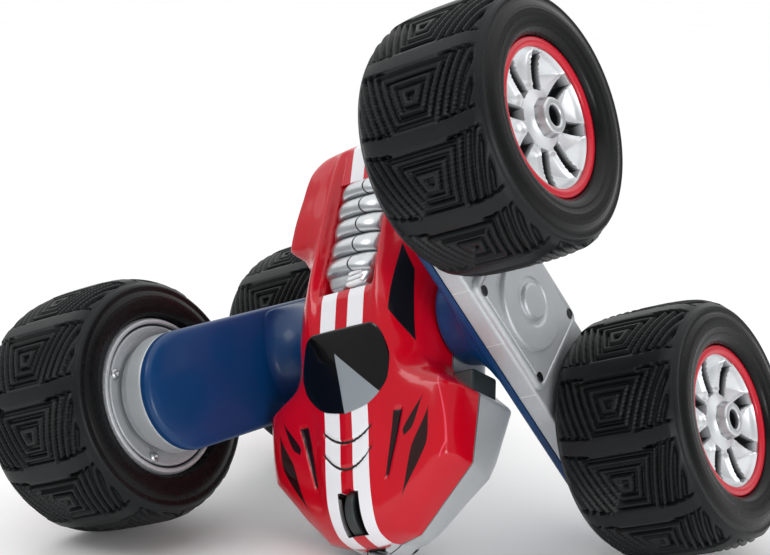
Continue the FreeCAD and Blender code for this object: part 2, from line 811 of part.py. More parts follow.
def make_rim():
    inner = barrel_radius - barrel_wall
    barrel = ring_x(0, 0, inner, barrel_radius, barrel_in, barrel_out)
    face_x = ring_out - face_setback
    face = rod_x(0, 0, inner + 0.5, face_x - face_width, face_x)
    middle = (slot_inner_radius + slot_outer_radius) / 2
    half_slot = (slot_outer_radius - slot_inner_radius) / 2
    for i in range(spoke_count):
        slot = box(face_x - 10, face_x + 10, middle - half_slot, middle + half_slot,
                   -slot_width / 2, slot_width / 2)
        slot.rotate(ORIGIN, X_AXIS, 360 * (i + 0.5) / spoke_count)
        face = face.cut(slot)
    hub = rod_x(0, 0, wheel_hub_radius, barrel_in, ring_out + wheel_hub_stand)
    bosses = []
    for y, z in back_screw_places():
        bosses.append(rod_x(y, z, 3.0, barrel_in, barrel_in + 9))
    body = united([barrel, face, hub] + bosses)
    corner = (hex_flats + 2 * pin_fit) / math.sqrt(3)
    turns = [math.radians(60 * i) for i in range(6)]
    socket = prism_x([(corner * math.cos(t), corner * math.sin(t)) for t in turns],
                     barrel_in - 1, web_x)
    body = body.cut(socket)
    body = body.cut(rod_x(0, 0, screw_shank_radius + 0.2, 0 - half_tyre, half_tyre))
    body = body.cut(rod_x(0, 0, hub_bore_radius, web_x + hub_web, half_tyre))
    for y, z in back_screw_places():
        body = body.cut(rod_x(y, z, screw_shank_radius + pin_fit, barrel_in - 1, barrel_in + 8))
    return body


def back_screw_places():
    turns = [math.radians(360 * (i + 0.5) / back_screw_count) for i in range(back_screw_count)]
    return [(back_screw_circle * math.cos(t), back_screw_circle * math.sin(t)) for t in turns]


def make_rim_ring():
    return ring_x(0, 0, ring_inner_radius, barrel_radius, ring_out - ring_width, ring_out)


def make_back_plate():
    plate = rod_x(0, 0, back_plate_radius, plate_in, plate_out)
    plate = plate.cut(rod_x(0, 0, sleeve_radius + 0.5, plate_in - 1, plate_out + 1))
    for y, z in back_screw_places():
        plate = plate.cut(rod_x(y, z, screw_shank_radius + 0.2, plate_in - 1, plate_out + 1))
    return plate


def make_wheel_screws():
    screws = []
    for y, z in back_screw_places():
        head = rod_x(y, z, screw_head_radius, plate_in - screw_head_height, plate_in)
        shank = rod_x(y, z, screw_shank_radius, plate_in - 1, barrel_in + 7)
        screws.append(united([head, shank]))
    head = rod_x(0, 0, screw_head_radius + 1, web_x + hub_web, web_x + hub_web + 2.4)
    shank = rod_x(0, 0, screw_shank_radius, plate_in + 3, web_x + hub_web + 1)
    screws.append(united([head, shank]))
    return Part.makeCompound(screws)


# ---- standing pose ------------------------------------------------------------------------------


def tyre_reach(along_axle):
    """How far a tyre reaches from its centre in a direction with this share along its axle."""
    across = math.sqrt(1 - along_axle ** 2)
    return max(
        u * tyre_width * abs(along_axle) + v * tyre_radius * across for u, v in TYRE_PROFILE
    )


def stance():
    """Placement of the fuselage frame in the row frame."""
    turn = FreeCAD.Rotation(Y_AXIS, -cross_tilt).multiply(
        FreeCAD.Rotation(X_AXIS, left_arm_angle)
    )
    tilt = math.radians(cross_tilt)
    drop = half_wheelbase * math.sin(math.radians(swing_split))
    height = wheel_centre_x * math.sin(tilt) + tyre_reach(math.sin(tilt))
    span_middle = drop * math.sin(tilt) / 2
    return FreeCAD.Placement(Vector(-span_middle, 0, height), turn)


STANCE = stance()
ARM_ANGLES = {"left": left_arm_angle, "right": right_arm_angle}


def save(name, shape, placement):
    placed = shape.copy()
    placed.Placement = placement.multiply(placed.Placement)
    placed.exportStep("parts/" + name + ".step")


def arm_placement(side):
    turn = FreeCAD.Rotation(X_AXIS, -ARM_ANGLES[side])
    return STANCE.multiply(FreeCAD.Placement(ORIGIN, turn))


def for_side(shape, side):
    return shape if side == "right" else shape.mirror(ORIGIN, X_AXIS)


FUSELAGE = {
    "upper_shell": make_upper_shell,
    "lower_shell": make_lower_shell,
    "canopy": make_canopy,
    "engine_cover": make_engine_cover,
    "nose_lip": make_nose_lip,
    "nose_roller": lambda: make_roller(nose_roller_radius, nose_roller_y, nose_roller_z),
    "chin_roller": lambda: make_roller(chin_roller_radius, chin_roller_y, chin_roller_z),
    "roller_pins": make_roller_pins,
    "battery_pack": make_battery_pack,
    "battery_door": make_battery_door,
    "circuit_board": make_circuit_board,
    "charge_socket": make_charge_socket,
    "power_switch": make_power_switch,
    "body_screws": make_body_screws,
    "pivot_bushes": make_bushes,
    "flank_blocks": make_flank_blocks,
}

ARM = {
    "outer_cover": make_outer_cover,
    "inner_cover": make_inner_cover,
    "arm_screws": make_arm_screws,
    "drive_motor": make_motor,
    "motor_pinion": make_motor_pinion,
    "hub_retainer": make_hub_retainer,
}

ENDED = {
    "reduction_gear": make_reduction_gear,
    "idler_gear": make_idler_gear,
    "drive_gear": make_drive_gear,
}

WHEEL = {
    "tyre": make_tyre,
    "rim": make_rim,
    "rim_ring": make_rim_ring,
    "back_plate": make_back_plate,
    "wheel_screws": make_wheel_screws,
}

for name, make in FUSELAGE.items():
    save(name, make(), STANCE)

for name, make in ARM.items():
    piece = make()
    for side in ARM_ANGLES:
        save(side + "_" + name, for_side(piece, side), arm_placement(side))

for label, end in (("front", -1), ("rear", 1)):
    wheel_place = Vector(wheel_centre_x, end * half_wheelbase, 0)
    for name, make in ENDED.items():
        piece = make(end)
        for side in ARM_ANGLES:
            save(side + "_" + label + "_" + name, for_side(piece, side), arm_placement(side))
    for name, make in WHEEL.items():
        piece = make()
        piece.translate(wheel_place)
        for side in ARM_ANGLES:
            save(side + "_" + label + "_" + name, for_side(piece, side), arm_placement(side))
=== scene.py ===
import bmesh
import bpy
import json
import math
import numpy as np
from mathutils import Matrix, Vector


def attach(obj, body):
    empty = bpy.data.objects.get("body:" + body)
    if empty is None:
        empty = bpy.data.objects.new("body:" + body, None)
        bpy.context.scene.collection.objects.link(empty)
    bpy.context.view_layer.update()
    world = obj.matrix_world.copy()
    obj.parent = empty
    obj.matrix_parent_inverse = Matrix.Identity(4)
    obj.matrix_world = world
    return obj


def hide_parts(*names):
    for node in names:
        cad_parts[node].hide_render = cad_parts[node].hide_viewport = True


# Radio-controlled tumbling stunt car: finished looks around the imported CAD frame.
# Pieces are worked out in millimetres in the frame of the group that they belong to.
#   Fuselage: X to the car's right, -Y to the nose, Z up, origin on the cross axis.
#   Arm: X outwards along the cross axis, -Y to the front wheel, Z up.
#   Wheel: X outwards along the axle, origin in the wheel's middle plane.

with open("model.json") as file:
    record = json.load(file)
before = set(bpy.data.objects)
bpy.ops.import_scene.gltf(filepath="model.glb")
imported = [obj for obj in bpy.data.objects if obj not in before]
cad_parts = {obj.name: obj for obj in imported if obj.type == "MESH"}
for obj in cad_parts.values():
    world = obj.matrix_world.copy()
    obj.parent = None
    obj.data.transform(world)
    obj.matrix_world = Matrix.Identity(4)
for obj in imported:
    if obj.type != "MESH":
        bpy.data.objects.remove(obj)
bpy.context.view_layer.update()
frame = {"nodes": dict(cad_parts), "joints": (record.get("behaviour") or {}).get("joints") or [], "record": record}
MM = 0.001

# ---- sizes shared with the CAD source -----------------------------------------------------------

TYRE_RADIUS = 56.0
RING_PLANE = 27.65
RING_INNER = 29.3
BARREL_RADIUS = 33.5
BACK_RADIUS = 35.7
HALF_WHEELBASE = 83.5
WHEEL_X = 103.8
ARM_WIDTH = 26.98
ARM_INNER_X = 55.5
ARM_SEAM_X = 60.5
ARM_DECK_X = 70.5
ARM_PLATE_X = 73.0
ARM_DISC_X = 75.5
ARM_PLATE_HALF = 31.8
ARM_PLATE_CORNER = 6.0
COLLAR_X = 37.6
DRUM_X = 75.55
SEAM_Z = 6.0
UPPER_SEAM = SEAM_Z + 0.1
LOWER_SEAM = SEAM_Z - 0.1
TREAD_REPEATS = 10


# ---- local frames -------------------------------------------------------------------------------


def unit(vector):
    vector = np.array(vector, float)
    return vector / np.linalg.norm(vector)


JOINTS = {j["name"]: j for j in frame["joints"]}
CROSS = unit(JOINTS["left_arm_swing"]["axis"])
AFT = unit(JOINTS["power_switch_slide"]["axis"])
PIVOT = np.array(JOINTS["left_arm_swing"]["pos_m"], float)


class Place:
    """A local frame: its origin in the row frame, and its axes."""

    def __init__(self, origin, x, y):
        self.origin = np.array(origin, float)
        self.axes = np.stack([x, y, np.cross(CROSS, y)])

    def put(self, points):
        return self.origin + points * MM @ self.axes

    def turned(self, degrees):
        """The same frame turned about its X axis."""
        turn = math.radians(degrees)
        y = math.cos(turn) * self.axes[1] + math.sin(turn) * self.axes[2]
        return Place(self.origin, self.axes[0], y)


FUSELAGE = Place(PIVOT, CROSS, AFT)
ARMS = {}
WHEELS = {}
for side, sign in (("left", -1), ("right", 1)):
    ends = {}
    for end in ("front", "rear"):
        ends[end] = np.array(JOINTS[side + "_" + end + "_wheel_spin"]["pos_m"], float)
    along = unit(ends["rear"] - ends["front"])
    ARMS[side] = Place(PIVOT, sign * CROSS, along)
    for end in ends:
        WHEELS[side, end] = Place(ends[end], sign * CROSS, along)


# ---- curves and grids of points -----------------------------------------------------------------


def smoothstep(low, high, value):
    t = np.clip((value - low) / (high - low), 0, 1)
    return t * t * (3 - 2 * t)


def stroke(distance, half, soft):
    """1 within half of a line, fading to 0 over soft."""
    return 1 - smoothstep(half, half + soft, np.abs(distance))


def blend_curve(knots, values, at):
    """Shape-keeping cubic through (knots, values); values may have several columns."""
    knots = np.array(knots, float)
    values = np.array(values, float)
    flat = values.reshape(len(knots), -1)
    step = np.diff(knots)[:, None]
    slope = np.diff(flat, axis=0) / step
    tangent = np.zeros_like(flat)
    same = slope[:-1] * slope[1:] > 0
    near = 2 * step[1:] + step[:-1]
    far = step[1:] + 2 * step[:-1]
    with np.errstate(divide="ignore", invalid="ignore"):
        mean = (near + far) / (near / slope[:-1] + far / slope[1:])
    tangent[1:-1] = np.where(same, mean, 0)
    tangent[0] = slope[0]
    tangent[-1] = slope[-1]
    at = np.clip(np.asarray(at, float), knots[0], knots[-1])
    cell = np.clip(np.searchsorted(knots, at, side="right") - 1, 0, len(knots) - 2)
    width = step[cell]
    t = ((at - knots[cell]) / width[:, 0])[:, None]
    made = (
        flat[cell] * (1 + 2 * t) * (1 - t) ** 2
        + tangent[cell] * width * t * (1 - t) ** 2
        + flat[cell + 1] * t * t * (3 - 2 * t)
        - tangent[cell + 1] * width * t * t * (1 - t)
    )
    return made.reshape((len(at),) + values.shape[1:])


def run_length(points):
    """Distance along a line of points, from its start to each of them."""
    return np.concatenate([[0], np.cumsum(np.linalg.norm(np.diff(points, axis=0), axis=1))])


def smooth_line(points, count):
    """A smooth line through the points, as count points evenly spaced along them."""
    length = run_length(points)
    return blend_curve(length, points, np.linspace(0, length[-1], count))


def fillet(points, radius, steps=5):
    """Rounds the corners of an open line of points."""
    points = np.array(points, float)
    made = [points[0]]
    for before, corner, after in zip(points, points[1:], points[2:]):
        a, b = before - corner, after - corner
        la, lb = np.linalg.norm(a), np.linalg.norm(b)
        cut = min(radius, 0.49 * la, 0.49 * lb)
        start, stop = corner + a / la * cut, corner + b / lb * cut
        for t in np.linspace(0, 1, steps):
            made.append((1 - t) ** 2 * start + 2 * t * (1 - t) * corner + t * t * stop)
    made.append(points[-1])
    return np.array(made)


def even(points, step):
    """The same line with points about a step apart."""
    points = np.array(points, float)
    length = run_length(points)
    at = np.linspace(0, length[-1], max(2, int(round(length[-1] / step)) + 1))
    return np.stack([np.interp(at, length, points[:, k]) for k in range(points.shape[1])], 1)


def lathe(profile, steps, y=0.0, z=0.0):
    """(x, radius) points turned about the X axis."""
    profile = np.array(profile, float)
    turn = np.linspace(0, 2 * math.pi, steps, endpoint=False)
    x = profile[:, :1] + 0 * turn
    return np.stack([x, y + profile[:, 1:] * np.cos(turn), z + profile[:, 1:] * np.sin(turn)], -1)


def stadium(profile, width, reach=HALF_WHEELBASE, sides=70, ends=36):
    """(inset, x) points carried round a stadium in the Y-Z plane."""
    turn = np.radians(np.linspace(-90, 90, ends))
    run = np.linspace(reach, -reach, sides)[1:-1]
    spine = np.concatenate([np.full(ends, reach), run, np.full(ends, -reach), -run])
    turn = np.concatenate([turn, np.full(len(run), math.pi / 2), turn + math.pi,
                           np.full(len(run), -math.pi / 2)])
    profile = np.array(profile, float)
    out = width - profile[:, :1]
    x = profile[:, 1:] + 0 * turn
    return np.stack([x, spine + out * np.cos(turn), out * np.sin(turn)], -1)


def square_sweep(profile, half_y, half_z, corner, steps=12):
    """(inset, x) points carried round a rectangle with rounded corners."""
    profile = np.array(profile, float)
    rows = []
    for inset, x in profile:
        r = max(corner - inset, 0.0)
        cy, cz = max(half_y - inset - r, 0.0), max(half_z - inset - r, 0.0)
        ring = []
        for k, (sy, sz) in enumerate(((1, 1), (-1, 1), (-1, -1), (1, -1))):
            for a in np.radians(np.linspace(0, 90, steps) + 90 * k):
                ring.append((x, sy * cy + r * math.cos(a), sz * cz + r * math.sin(a)))
        rows.append(ring)
    return np.array(rows)


# ---- meshes -------------------------------------------------------------------------------------


class Body:
    """Gathers closed grids of points, each with a material number, into one mesh."""

    def __init__(self):
        self.points = []
        self.faces = []
        self.marks = []
        self.count = 0

    def add(self, grid, mark=0, round_u=False, round_v=False):
        rows, columns = grid.shape[:2]
        ids = np.arange(rows * columns).reshape(rows, columns) + self.count
        if round_u:
            ids = np.vstack([ids, ids[:1]])
        if round_v:
            ids = np.hstack([ids, ids[:, :1]])
        quads = np.stack([ids[:-1, :-1], ids[1:, :-1], ids[1:, 1:], ids[:-1, 1:]], -1)
        self.points.append(grid.reshape(-1, 3))
        self.faces.append(quads.reshape(-1, 4))
        self.marks.append(np.full(len(self.faces[-1]), mark))
        self.count += rows * columns
        return self

    def slab(self, outer, inner, mark=0):
        """Two sheets of points with the same layout, joined at their borders."""
        self.add(outer, mark)
        self.add(inner, mark)
        for edge in (np.s_[0], np.s_[-1], np.s_[:, 0], np.s_[:, -1]):
            self.add(np.stack([outer[edge], inner[edge]]), mark)
        return self


def face_outwards(mesh, merge=0.0):
    """Merges points closer than merge, then turns every face outwards."""
    work = bmesh.new()
    work.from_mesh(mesh)
    if merge:
        bmesh.ops.remove_doubles(work, verts=work.verts, dist=merge)
    bmesh.ops.recalc_face_normals(work, faces=work.faces)
    work.to_mesh(mesh)
    work.free()


def make_mesh(name, body, place, crease=35):
    """The gathered grids as a mesh in the row frame, which keeps its local places too."""
    points = np.concatenate(body.points)
    faces = np.concatenate(body.faces)
    mesh = bpy.data.meshes.new(name)
    mesh.from_pydata(place.put(points), [], faces)
    local = mesh.attributes.new("local", "FLOAT_VECTOR", "POINT")
    local.data.foreach_set("vector", points.astype(np.float32).ravel())
    mesh.polygons.foreach_set("material_index", np.concatenate(body.marks).astype(np.int32))
    face_outwards(mesh, merge=2e-6)
    mesh.shade_smooth()
    mesh.set_sharp_from_angle(angle=math.radians(crease))
    return mesh


def show(mesh, materials, rides, slot, *stands_for):
    """Puts a finished piece in the scene, on its body, in place of the nodes it stands for."""
    piece = bpy.data.objects.new(mesh.name, mesh)
    bpy.context.scene.collection.objects.link(piece)
    for material in materials:
        mesh.materials.append(material)
    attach(piece, rides)
    if stands_for:
        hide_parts(*stands_for)
    return piece


# ---- shader arithmetic --------------------------------------------------------------------------


def feed(tree, value, socket):
    if isinstance(value, Val):
        tree.links.new(value.out, socket)
    else:
        socket.default_value = value


class Val:
    """A shader socket that takes part in Python arithmetic."""

    def __init__(self, tree, out):
        self.tree = tree
        self.out = out

    def calc(self, operation, *values):
        node = self.tree.nodes.new("ShaderNodeMath")
        node.operation = operation
        for value, socket in zip(values, node.inputs):
            feed(self.tree, value, socket)
        return Val(self.tree, node.outputs[0])

    def __add__(self, other):
        return self.calc("ADD", self, other)

    __radd__ = __add__

    def __mul__(self, other):
        return self.calc("MULTIPLY", self, other)

    __rmul__ = __mul__

    def __sub__(self, other):
        return self.calc("SUBTRACT", self, other)

    def __rsub__(self, other):
        return self.calc("SUBTRACT", other, self)

    def __truediv__(self, other):
        return self.calc("DIVIDE", self, other)

    def __rtruediv__(self, other):
        return self.calc("DIVIDE", other, self)

    def __pow__(self, other):
        return self.calc("POWER", self, other)

    def __mod__(self, other):
        return self.calc("FLOORED_MODULO", self, other)

    def __abs__(self):
        return self.calc("ABSOLUTE", self)

    def __and__(self, other):
        return self.calc("MINIMUM", self, other)

    def __or__(self, other):
        return self.calc("MAXIMUM", self, other)

    def sine(self):
        return self.calc("SINE", self)

    def fade(self, low, high):
        """0 at low, 1 at high, smooth between; low may be the larger."""
        node = self.tree.nodes.new("ShaderNodeMapRange")
        node.interpolation_type = "SMOOTHSTEP"
        flip = low > high
        self.tree.links.new(self.out, node.inputs["Value"])
        node.inputs["From Min"].default_value = min(low, high)
        node.inputs["From Max"].default_value = max(low, high)
        node.inputs["To Min"].default_value = 1.0 if flip else 0.0
        node.inputs["To Max"].default_value = 0.0 if flip else 1.0
        return Val(self.tree, node.outputs[0])

    def line(self, at, half, soft=0.15):
        """1 within half of at."""
        return abs(self - at).fade(half + soft, half)


def srgb(red, green, blue):
    made = []
    for level in (red, green, blue):
        share = level / 255
        made.append(share / 12.92 if share <= 0.04045 else ((share + 0.055) / 1.055) ** 2.4)
    return tuple(made) + (1.0,)


class Paint:
    """A material as it is put together. x, y and z are millimetres in the piece's own frame."""

    def __init__(self, name, own=True, **uniform):
        self.material = bpy.data.materials.new(name)
        self.material.use_nodes = True
        self.tree = self.material.node_tree
        self.tree.nodes.clear()
        self.shader = self.tree.nodes.new("ShaderNodeBsdfPrincipled")
        out = self.tree.nodes.new("ShaderNodeOutputMaterial")
        self.tree.links.new(self.shader.outputs[0], out.inputs["Surface"])
        if own:
            source = self.tree.nodes.new("ShaderNodeAttribute")
            source.attribute_name = "local"
            self.where = source.outputs["Vector"]
        else:
            source = self.tree.nodes.new("ShaderNodeTexCoord")
            scale = self.tree.nodes.new("ShaderNodeVectorMath")
            scale.operation = "SCALE"
            scale.inputs["Scale"].default_value = 1 / MM
            self.tree.links.new(source.outputs["Object"], scale.inputs[0])
            self.where = scale.outputs[0]
        split = self.tree.nodes.new("ShaderNodeSeparateXYZ")
        self.tree.links.new(self.where, split.inputs[0])
        self.x, self.y, self.z = (Val(self.tree, out) for out in split.outputs)
        self.set(**uniform)

    def set(self, **values):
        for key, value in values.items():
            socket = key.replace("_", " ").title().replace("Ior", "IOR")
            feed(self.tree, value, self.shader.inputs[socket])
        return self

    def noise(self, size, detail=2.0, stretch=None):
        """Cloudy noise, 0 to 1, with features about size millimetres across."""
        node = self.tree.nodes.new("ShaderNodeTexNoise")
        node.inputs["Scale"].default_value = 1 / size
        node.inputs["Detail"].default_value = detail
        where = self.where
        if stretch:
            scale = self.tree.nodes.new("ShaderNodeVectorMath")
            scale.operation = "MULTIPLY"
            scale.inputs[1].default_value = stretch
            self.tree.links.new(where, scale.inputs[0])
            where = scale.outputs[0]
        self.tree.links.new(where, node.inputs["Vector"])
        return Val(self.tree, node.outputs[0])

    def cells(self, size):
        """Distance to the nearest of scattered points about size apart."""
        node = self.tree.nodes.new("ShaderNodeTexVoronoi")
        node.inputs["Scale"].default_value = 1 / size
        self.tree.links.new(self.where, node.inputs["Vector"])
        return Val(self.tree, node.outputs["Distance"])

    def mix(self, share, low, high):
        """A colour, low where share is 0 and high where it is 1."""
        node = self.tree.nodes.new("ShaderNodeMix")
        node.data_type = "RGBA"
        feed(self.tree, share, node.inputs[0])
        feed(self.tree, low, node.inputs[6])
        feed(self.tree, high, node.inputs[7])
        return Val(self.tree, node.outputs[2])

    def relief(self, height, strength=1.0):
        """Bump from a height in millimetres."""
        node = self.tree.nodes.new("ShaderNodeBump")
        node.inputs["Strength"].default_value = strength
        node.inputs["Distance"].default_value = MM
        feed(self.tree, height, node.inputs["Height"])
        self.tree.links.new(node.outputs[0], self.shader.inputs["Normal"])
        return self

    def away(self, y, z):
        """Distance from a line along X through (y, z)."""
        return ((self.y - y) ** 2.0 + (self.z - z) ** 2.0) ** 0.5

    def bearing(self):
        """Angle round the X axis, from Y towards Z."""
        return self.z.calc("ARCTAN2", self.z, self.y)


# ---- plain finishes -----------------------------------------------------------------------------


def plastic(name, low, high, rough, grain=0.02, size=0.5, own=False, coat=0.0, metal=0.0):
    """Moulded plastic: two close shades, uneven gloss and a fine grain."""
    paint = Paint(name, own, metallic=metal, coat_weight=coat)
    cloud = paint.noise(9.0, 3.0)
    fine = paint.noise(size, 2.0)
    paint.set(base_color=paint.mix(cloud * 0.7 + fine * 0.3, low, high))
    paint.set(roughness=rough * (0.8 + 0.4 * cloud) + 0.05 * fine)
    paint.relief(fine * grain)
    return paint.material


def turned_metal(name, low, high, rough, size=0.6):
    """Drawn or turned metal: streaks across the grain."""
    paint = Paint(name, False, metallic=1.0)
    streak = paint.noise(size, 3.0, (1.0, 6.0, 1.0))
    cloud = paint.noise(6.0, 2.0)
    paint.set(base_color=paint.mix(streak * 0.6 + cloud * 0.4, low, high))
    paint.set(roughness=rough * (0.7 + 0.6 * streak))
    paint.relief(streak * 0.02)
    return paint.material


FINISH = {
    "steel": turned_metal("steel_pins", srgb(150, 152, 154), srgb(196, 198, 200), 0.28),
    "screw": turned_metal("screw_nickel", srgb(128, 130, 132), srgb(205, 206, 206), 0.25, 0.4),
    "motor": turned_metal("motor_can", srgb(140, 142, 146), srgb(190, 192, 194), 0.3, 0.9),
    "brass": turned_metal("pinion_brass", srgb(150, 120, 60), srgb(205, 170, 96), 0.3),
    "gear": plastic("gear_nylon", srgb(206, 202, 190), srgb(228, 225, 214), 0.42, 0.03),
    "black_matt": plastic("black_fittings", srgb(20, 21, 22), srgb(34, 35, 37), 0.55, 0.05),
    "dark_rubber": plastic("dark_blocks", srgb(30, 34, 36), srgb(52, 58, 60), 0.5, 0.08, 0.8),
    "board": plastic("solder_mask", srgb(14, 70, 34), srgb(24, 96, 48), 0.35, 0.02),
    "battery": plastic("shrink_sleeve", srgb(20, 38, 88), srgb(34, 56, 118), 0.3, 0.05, 2.0),
}


# ---- tyre ---------------------------------------------------------------------------------------

TREAD_PITCH = 2 * math.pi * TYRE_RADIUS / TREAD_REPEATS
TREAD_START = {
    ("left", "front"): 15.0,
    ("left", "rear"): 15.0,
    ("right", "front"): 18.0,
    ("right", "rear"): 15.0,
}


def tread_height(x, s):
    """Relief of the tread in millimetres, at x across and s round the tyre."""
    s = np.mod(s, TREAD_PITCH) - TREAD_PITCH / 2
    a = np.abs(x)
    flank = 0.94 * a + 0.3 * s
    nest = np.maximum(flank, np.minimum(np.abs(s), 13.6))
    groove = stroke(nest, 1.2, 0.9)
    for centre in (4.9, 8.4, 11.9):
        groove = np.maximum(groove, stroke(nest - centre, 0.45, 0.95))
    for centre in (15.4, 18.9, 22.4, 25.9):
        groove = np.maximum(groove, stroke(flank - centre, 0.45, 0.95))
    lean = 0.0045 * np.maximum(a - 4, 0) ** 2
    gap = np.mod(s + lean + TREAD_PITCH / 2, TREAD_PITCH) - TREAD_PITCH / 2
    band = 1 - smoothstep(3.3, 4.0, TREAD_PITCH / 2 - np.abs(gap))
    edge = 1 - smoothstep(26.6, 28.2, a)
    lip = stroke(TREAD_PITCH / 2 - np.abs(gap) - 4.1, 0.35, 0.4) * smoothstep(12, 15, a)
    groove = np.maximum(groove * (1 - band), lip)
    return (-2.0 * groove + 0.3 * band) * edge


def make_tyre(side, end):
    crown = [(0, TYRE_RADIUS), (8, 55.95), (16, 55.6), (22, 54.9), (26.0, 53.6), (28.4, 51.9)]
    flank = [(29.6, 50.6), (30.3, 49.2), (30.4, 47.8), (31.2, 46.2), (31.65, 43.5), (31.5, 41.2)]
    lip = [(31.6, 40.4), (31.1, 39.6), (30.9, 37.5), (30.0, 35.2), (28.6, 34.2), (RING_PLANE, 33.75)]
    outer = np.array(crown + flank + lip)
    inner = outer.copy()
    inner[:, 0] *= -1
    inner[-1, 1] = BACK_RADIUS + 0.25
    inner[-2] = (-28.7, BACK_RADIUS + 0.5)
    inner[-3] = (-30.0, BACK_RADIUS + 1.0)
    whole = np.concatenate([outer[::-1], inner[1:]])
    length = run_length(whole)
    samples = np.linspace(0, length[-1], 400)
    wide = blend_curve(length, whole, samples)
    dense = np.concatenate([[0], np.cumsum(np.where(wide[1:, 1] > 51, 2.0, 1.0))])
    line = blend_curve(length, whole, np.interp(np.linspace(0, dense[-1], 150), dense, samples))
    slope = np.gradient(line, axis=0)
    normal = np.stack([-slope[:, 1], slope[:, 0]], 1)
    normal /= -np.linalg.norm(normal, axis=1)[:, None]
    steps = 56 * TREAD_REPEATS
    turn = np.linspace(0, 2 * math.pi, steps, endpoint=False)
    x = line[:, :1] + 0 * turn
    r = line[:, 1:] + 0 * turn
    tread = r > 49.5
    lift = tread_height(x, turn * TYRE_RADIUS + TREAD_START[side, end] + 0 * x) * tread
    ridge = 0.5 * stroke(r - 50.2, 0.5, 0.7) * (1 - stroke(x, 26, 1))
    lift = lift + ridge
    x = x + lift * normal[:, :1]
    r = r + lift * normal[:, 1:]
    body = Body()
    skin = np.stack([x, r * np.cos(turn), r * np.sin(turn)], -1)
    hollow = [(-RING_PLANE, BACK_RADIUS + 0.25), (-22, BACK_RADIUS + 0.25), (-25, 48),
              (-18, 52), (18, 52), (25, 48), (22, 33.75), (RING_PLANE, 33.75)]
    body.add(skin, 0, round_v=True)
    body.add(lathe(hollow, steps), 0, round_v=True)
    name = side + "_" + end + "_tyre"
    mesh = make_mesh(name + "_tread", body, WHEELS[side, end], 40)
    show(mesh, [TYRE_RUBBER], side + "_" + end + "_wheel", "tyre", name)


def tyre_rubber():
    paint = Paint("tyre_rubber", specular_ior_level=0.2)
    radius = paint.away(0.0, 0.0)
    wall = radius.fade(50.4, 49.0)
    # The tread's groove bottoms are painted darker: painted shade in the grooves.
    deep = radius.fade(55.2, 54.0) * abs(paint.x).fade(20.0, 18.0)
    dust = paint.noise(3.0, 4.0)
    fine = paint.noise(0.45, 2.0)
    tone = paint.mix(dust * 0.6 + fine * 0.4, srgb(13, 15, 17), srgb(25, 28, 30))
    tone = paint.mix(deep, tone, srgb(8, 9, 10))
    tone = paint.mix(wall, tone, srgb(12, 13, 14))
    paint.set(base_color=tone)
    paint.set(roughness=0.4 - 0.12 * wall + 0.12 * (dust - 0.5))
    rings = (radius * 4.2).sine()
    paint.relief(fine * 0.05 + rings * wall * 0.015)
    return paint.material


TYRE_RUBBER = tyre_rubber()


# ---- rim ----------------------------------------------------------------------------------------


SPOKE_STEP = math.pi / 4
REAR_RIM_TURN = 22.5


def rim_face(r, turn):
    """Height of the rim's face along the axle, and how deep in a slot each point is."""
    swing = np.mod(turn + SPOKE_STEP / 2, SPOKE_STEP) - SPOKE_STEP / 2
    p, t = r * np.cos(swing), np.abs(r * np.sin(swing))
    flank = p * math.sin(SPOKE_STEP / 2) - t * math.cos(SPOKE_STEP / 2) - 2.9
    nose = np.where(p < 18.4, 4.4 - np.hypot(p - 18.4, t), flank)
    lobe = np.minimum(np.minimum(flank, nose), 29.0 - r)
    gap = np.abs(r * np.sin(np.mod(turn, SPOKE_STEP) - SPOKE_STEP / 2))
    hole = (1 - smoothstep(2.0, 2.9, gap)) * smoothstep(12.4, 13.5, r)
    hole = hole * (1 - smoothstep(28.0, 28.7, r))
    base = blend_curve(
        [8.0, 10.0, 13.0, 17.0, 22.0, 27.0, 29.4, 30.4],
        [26.0, 24.4, 23.2, 22.7, 22.9, 24.2, 25.4, 25.8], r.ravel()
    ).reshape(r.shape)
    dish = -3.2 * np.clip(lobe / 5.5, 0, 1) ** 0.6 + 0.5 * stroke(lobe, 0.3, 0.8)
    return base + dish - 6.5 * hole, hole


def make_rim(side, end):
    steps = 576
    turn = np.linspace(0, 2 * math.pi, steps, endpoint=False)
    radii = np.concatenate([np.linspace(8.0, 28.8, 62), [29.4, 30.4]])
    r, angle = np.meshgrid(radii, turn, indexing="ij")
    x, hole = rim_face(r, angle)
    face = np.stack([x, r * np.cos(angle), r * np.sin(angle)], -1)
    body = Body()
    shell = [(RING_PLANE - 2.05, 30.5), (RING_PLANE - 2.05, BARREL_RADIUS - 0.05),
             (-20, BARREL_RADIUS - 0.05), (-24, BARREL_RADIUS - 0.05), (-24, 8.0), (14, 8.0)]
    body.add(lathe([(float(x[-1, 0]), 30.4)] + shell, steps), 2, round_v=True)
    body.add(face, 0, round_v=True)
    body.add(np.stack([lathe([(14, 8.0)], steps)[0], face[0]]), 0, round_v=True)
    collar = fillet([(10, 0), (10, 8.6), (26.2, 8.6), (30.3, 7.7), (30.3, 4.4), (22.0, 4.1),
                     (22.0, 0)], 0.9)
    hub = lathe(collar, 96)
    flute = 0.45 * np.abs(np.sin(4 * np.arctan2(hub[..., 2], hub[..., 1])))
    outside = np.hypot(hub[..., 1], hub[..., 2]) > 7
    hub[..., 1:] *= (1 - 0.06 * flute * outside)[..., None]
    body.add(hub, 1, round_v=True)
    name = side + "_" + end
    place = WHEELS[side, end].turned(REAR_RIM_TURN if end == "rear" else 0)
    mesh = make_mesh(name + "_rim_face", body, place, 38)
    materials = [RIM_SILVER, HUB_SILVER, BARREL_BLACK]
    show(mesh, materials, name + "_wheel", "rim_silver", name + "_rim")


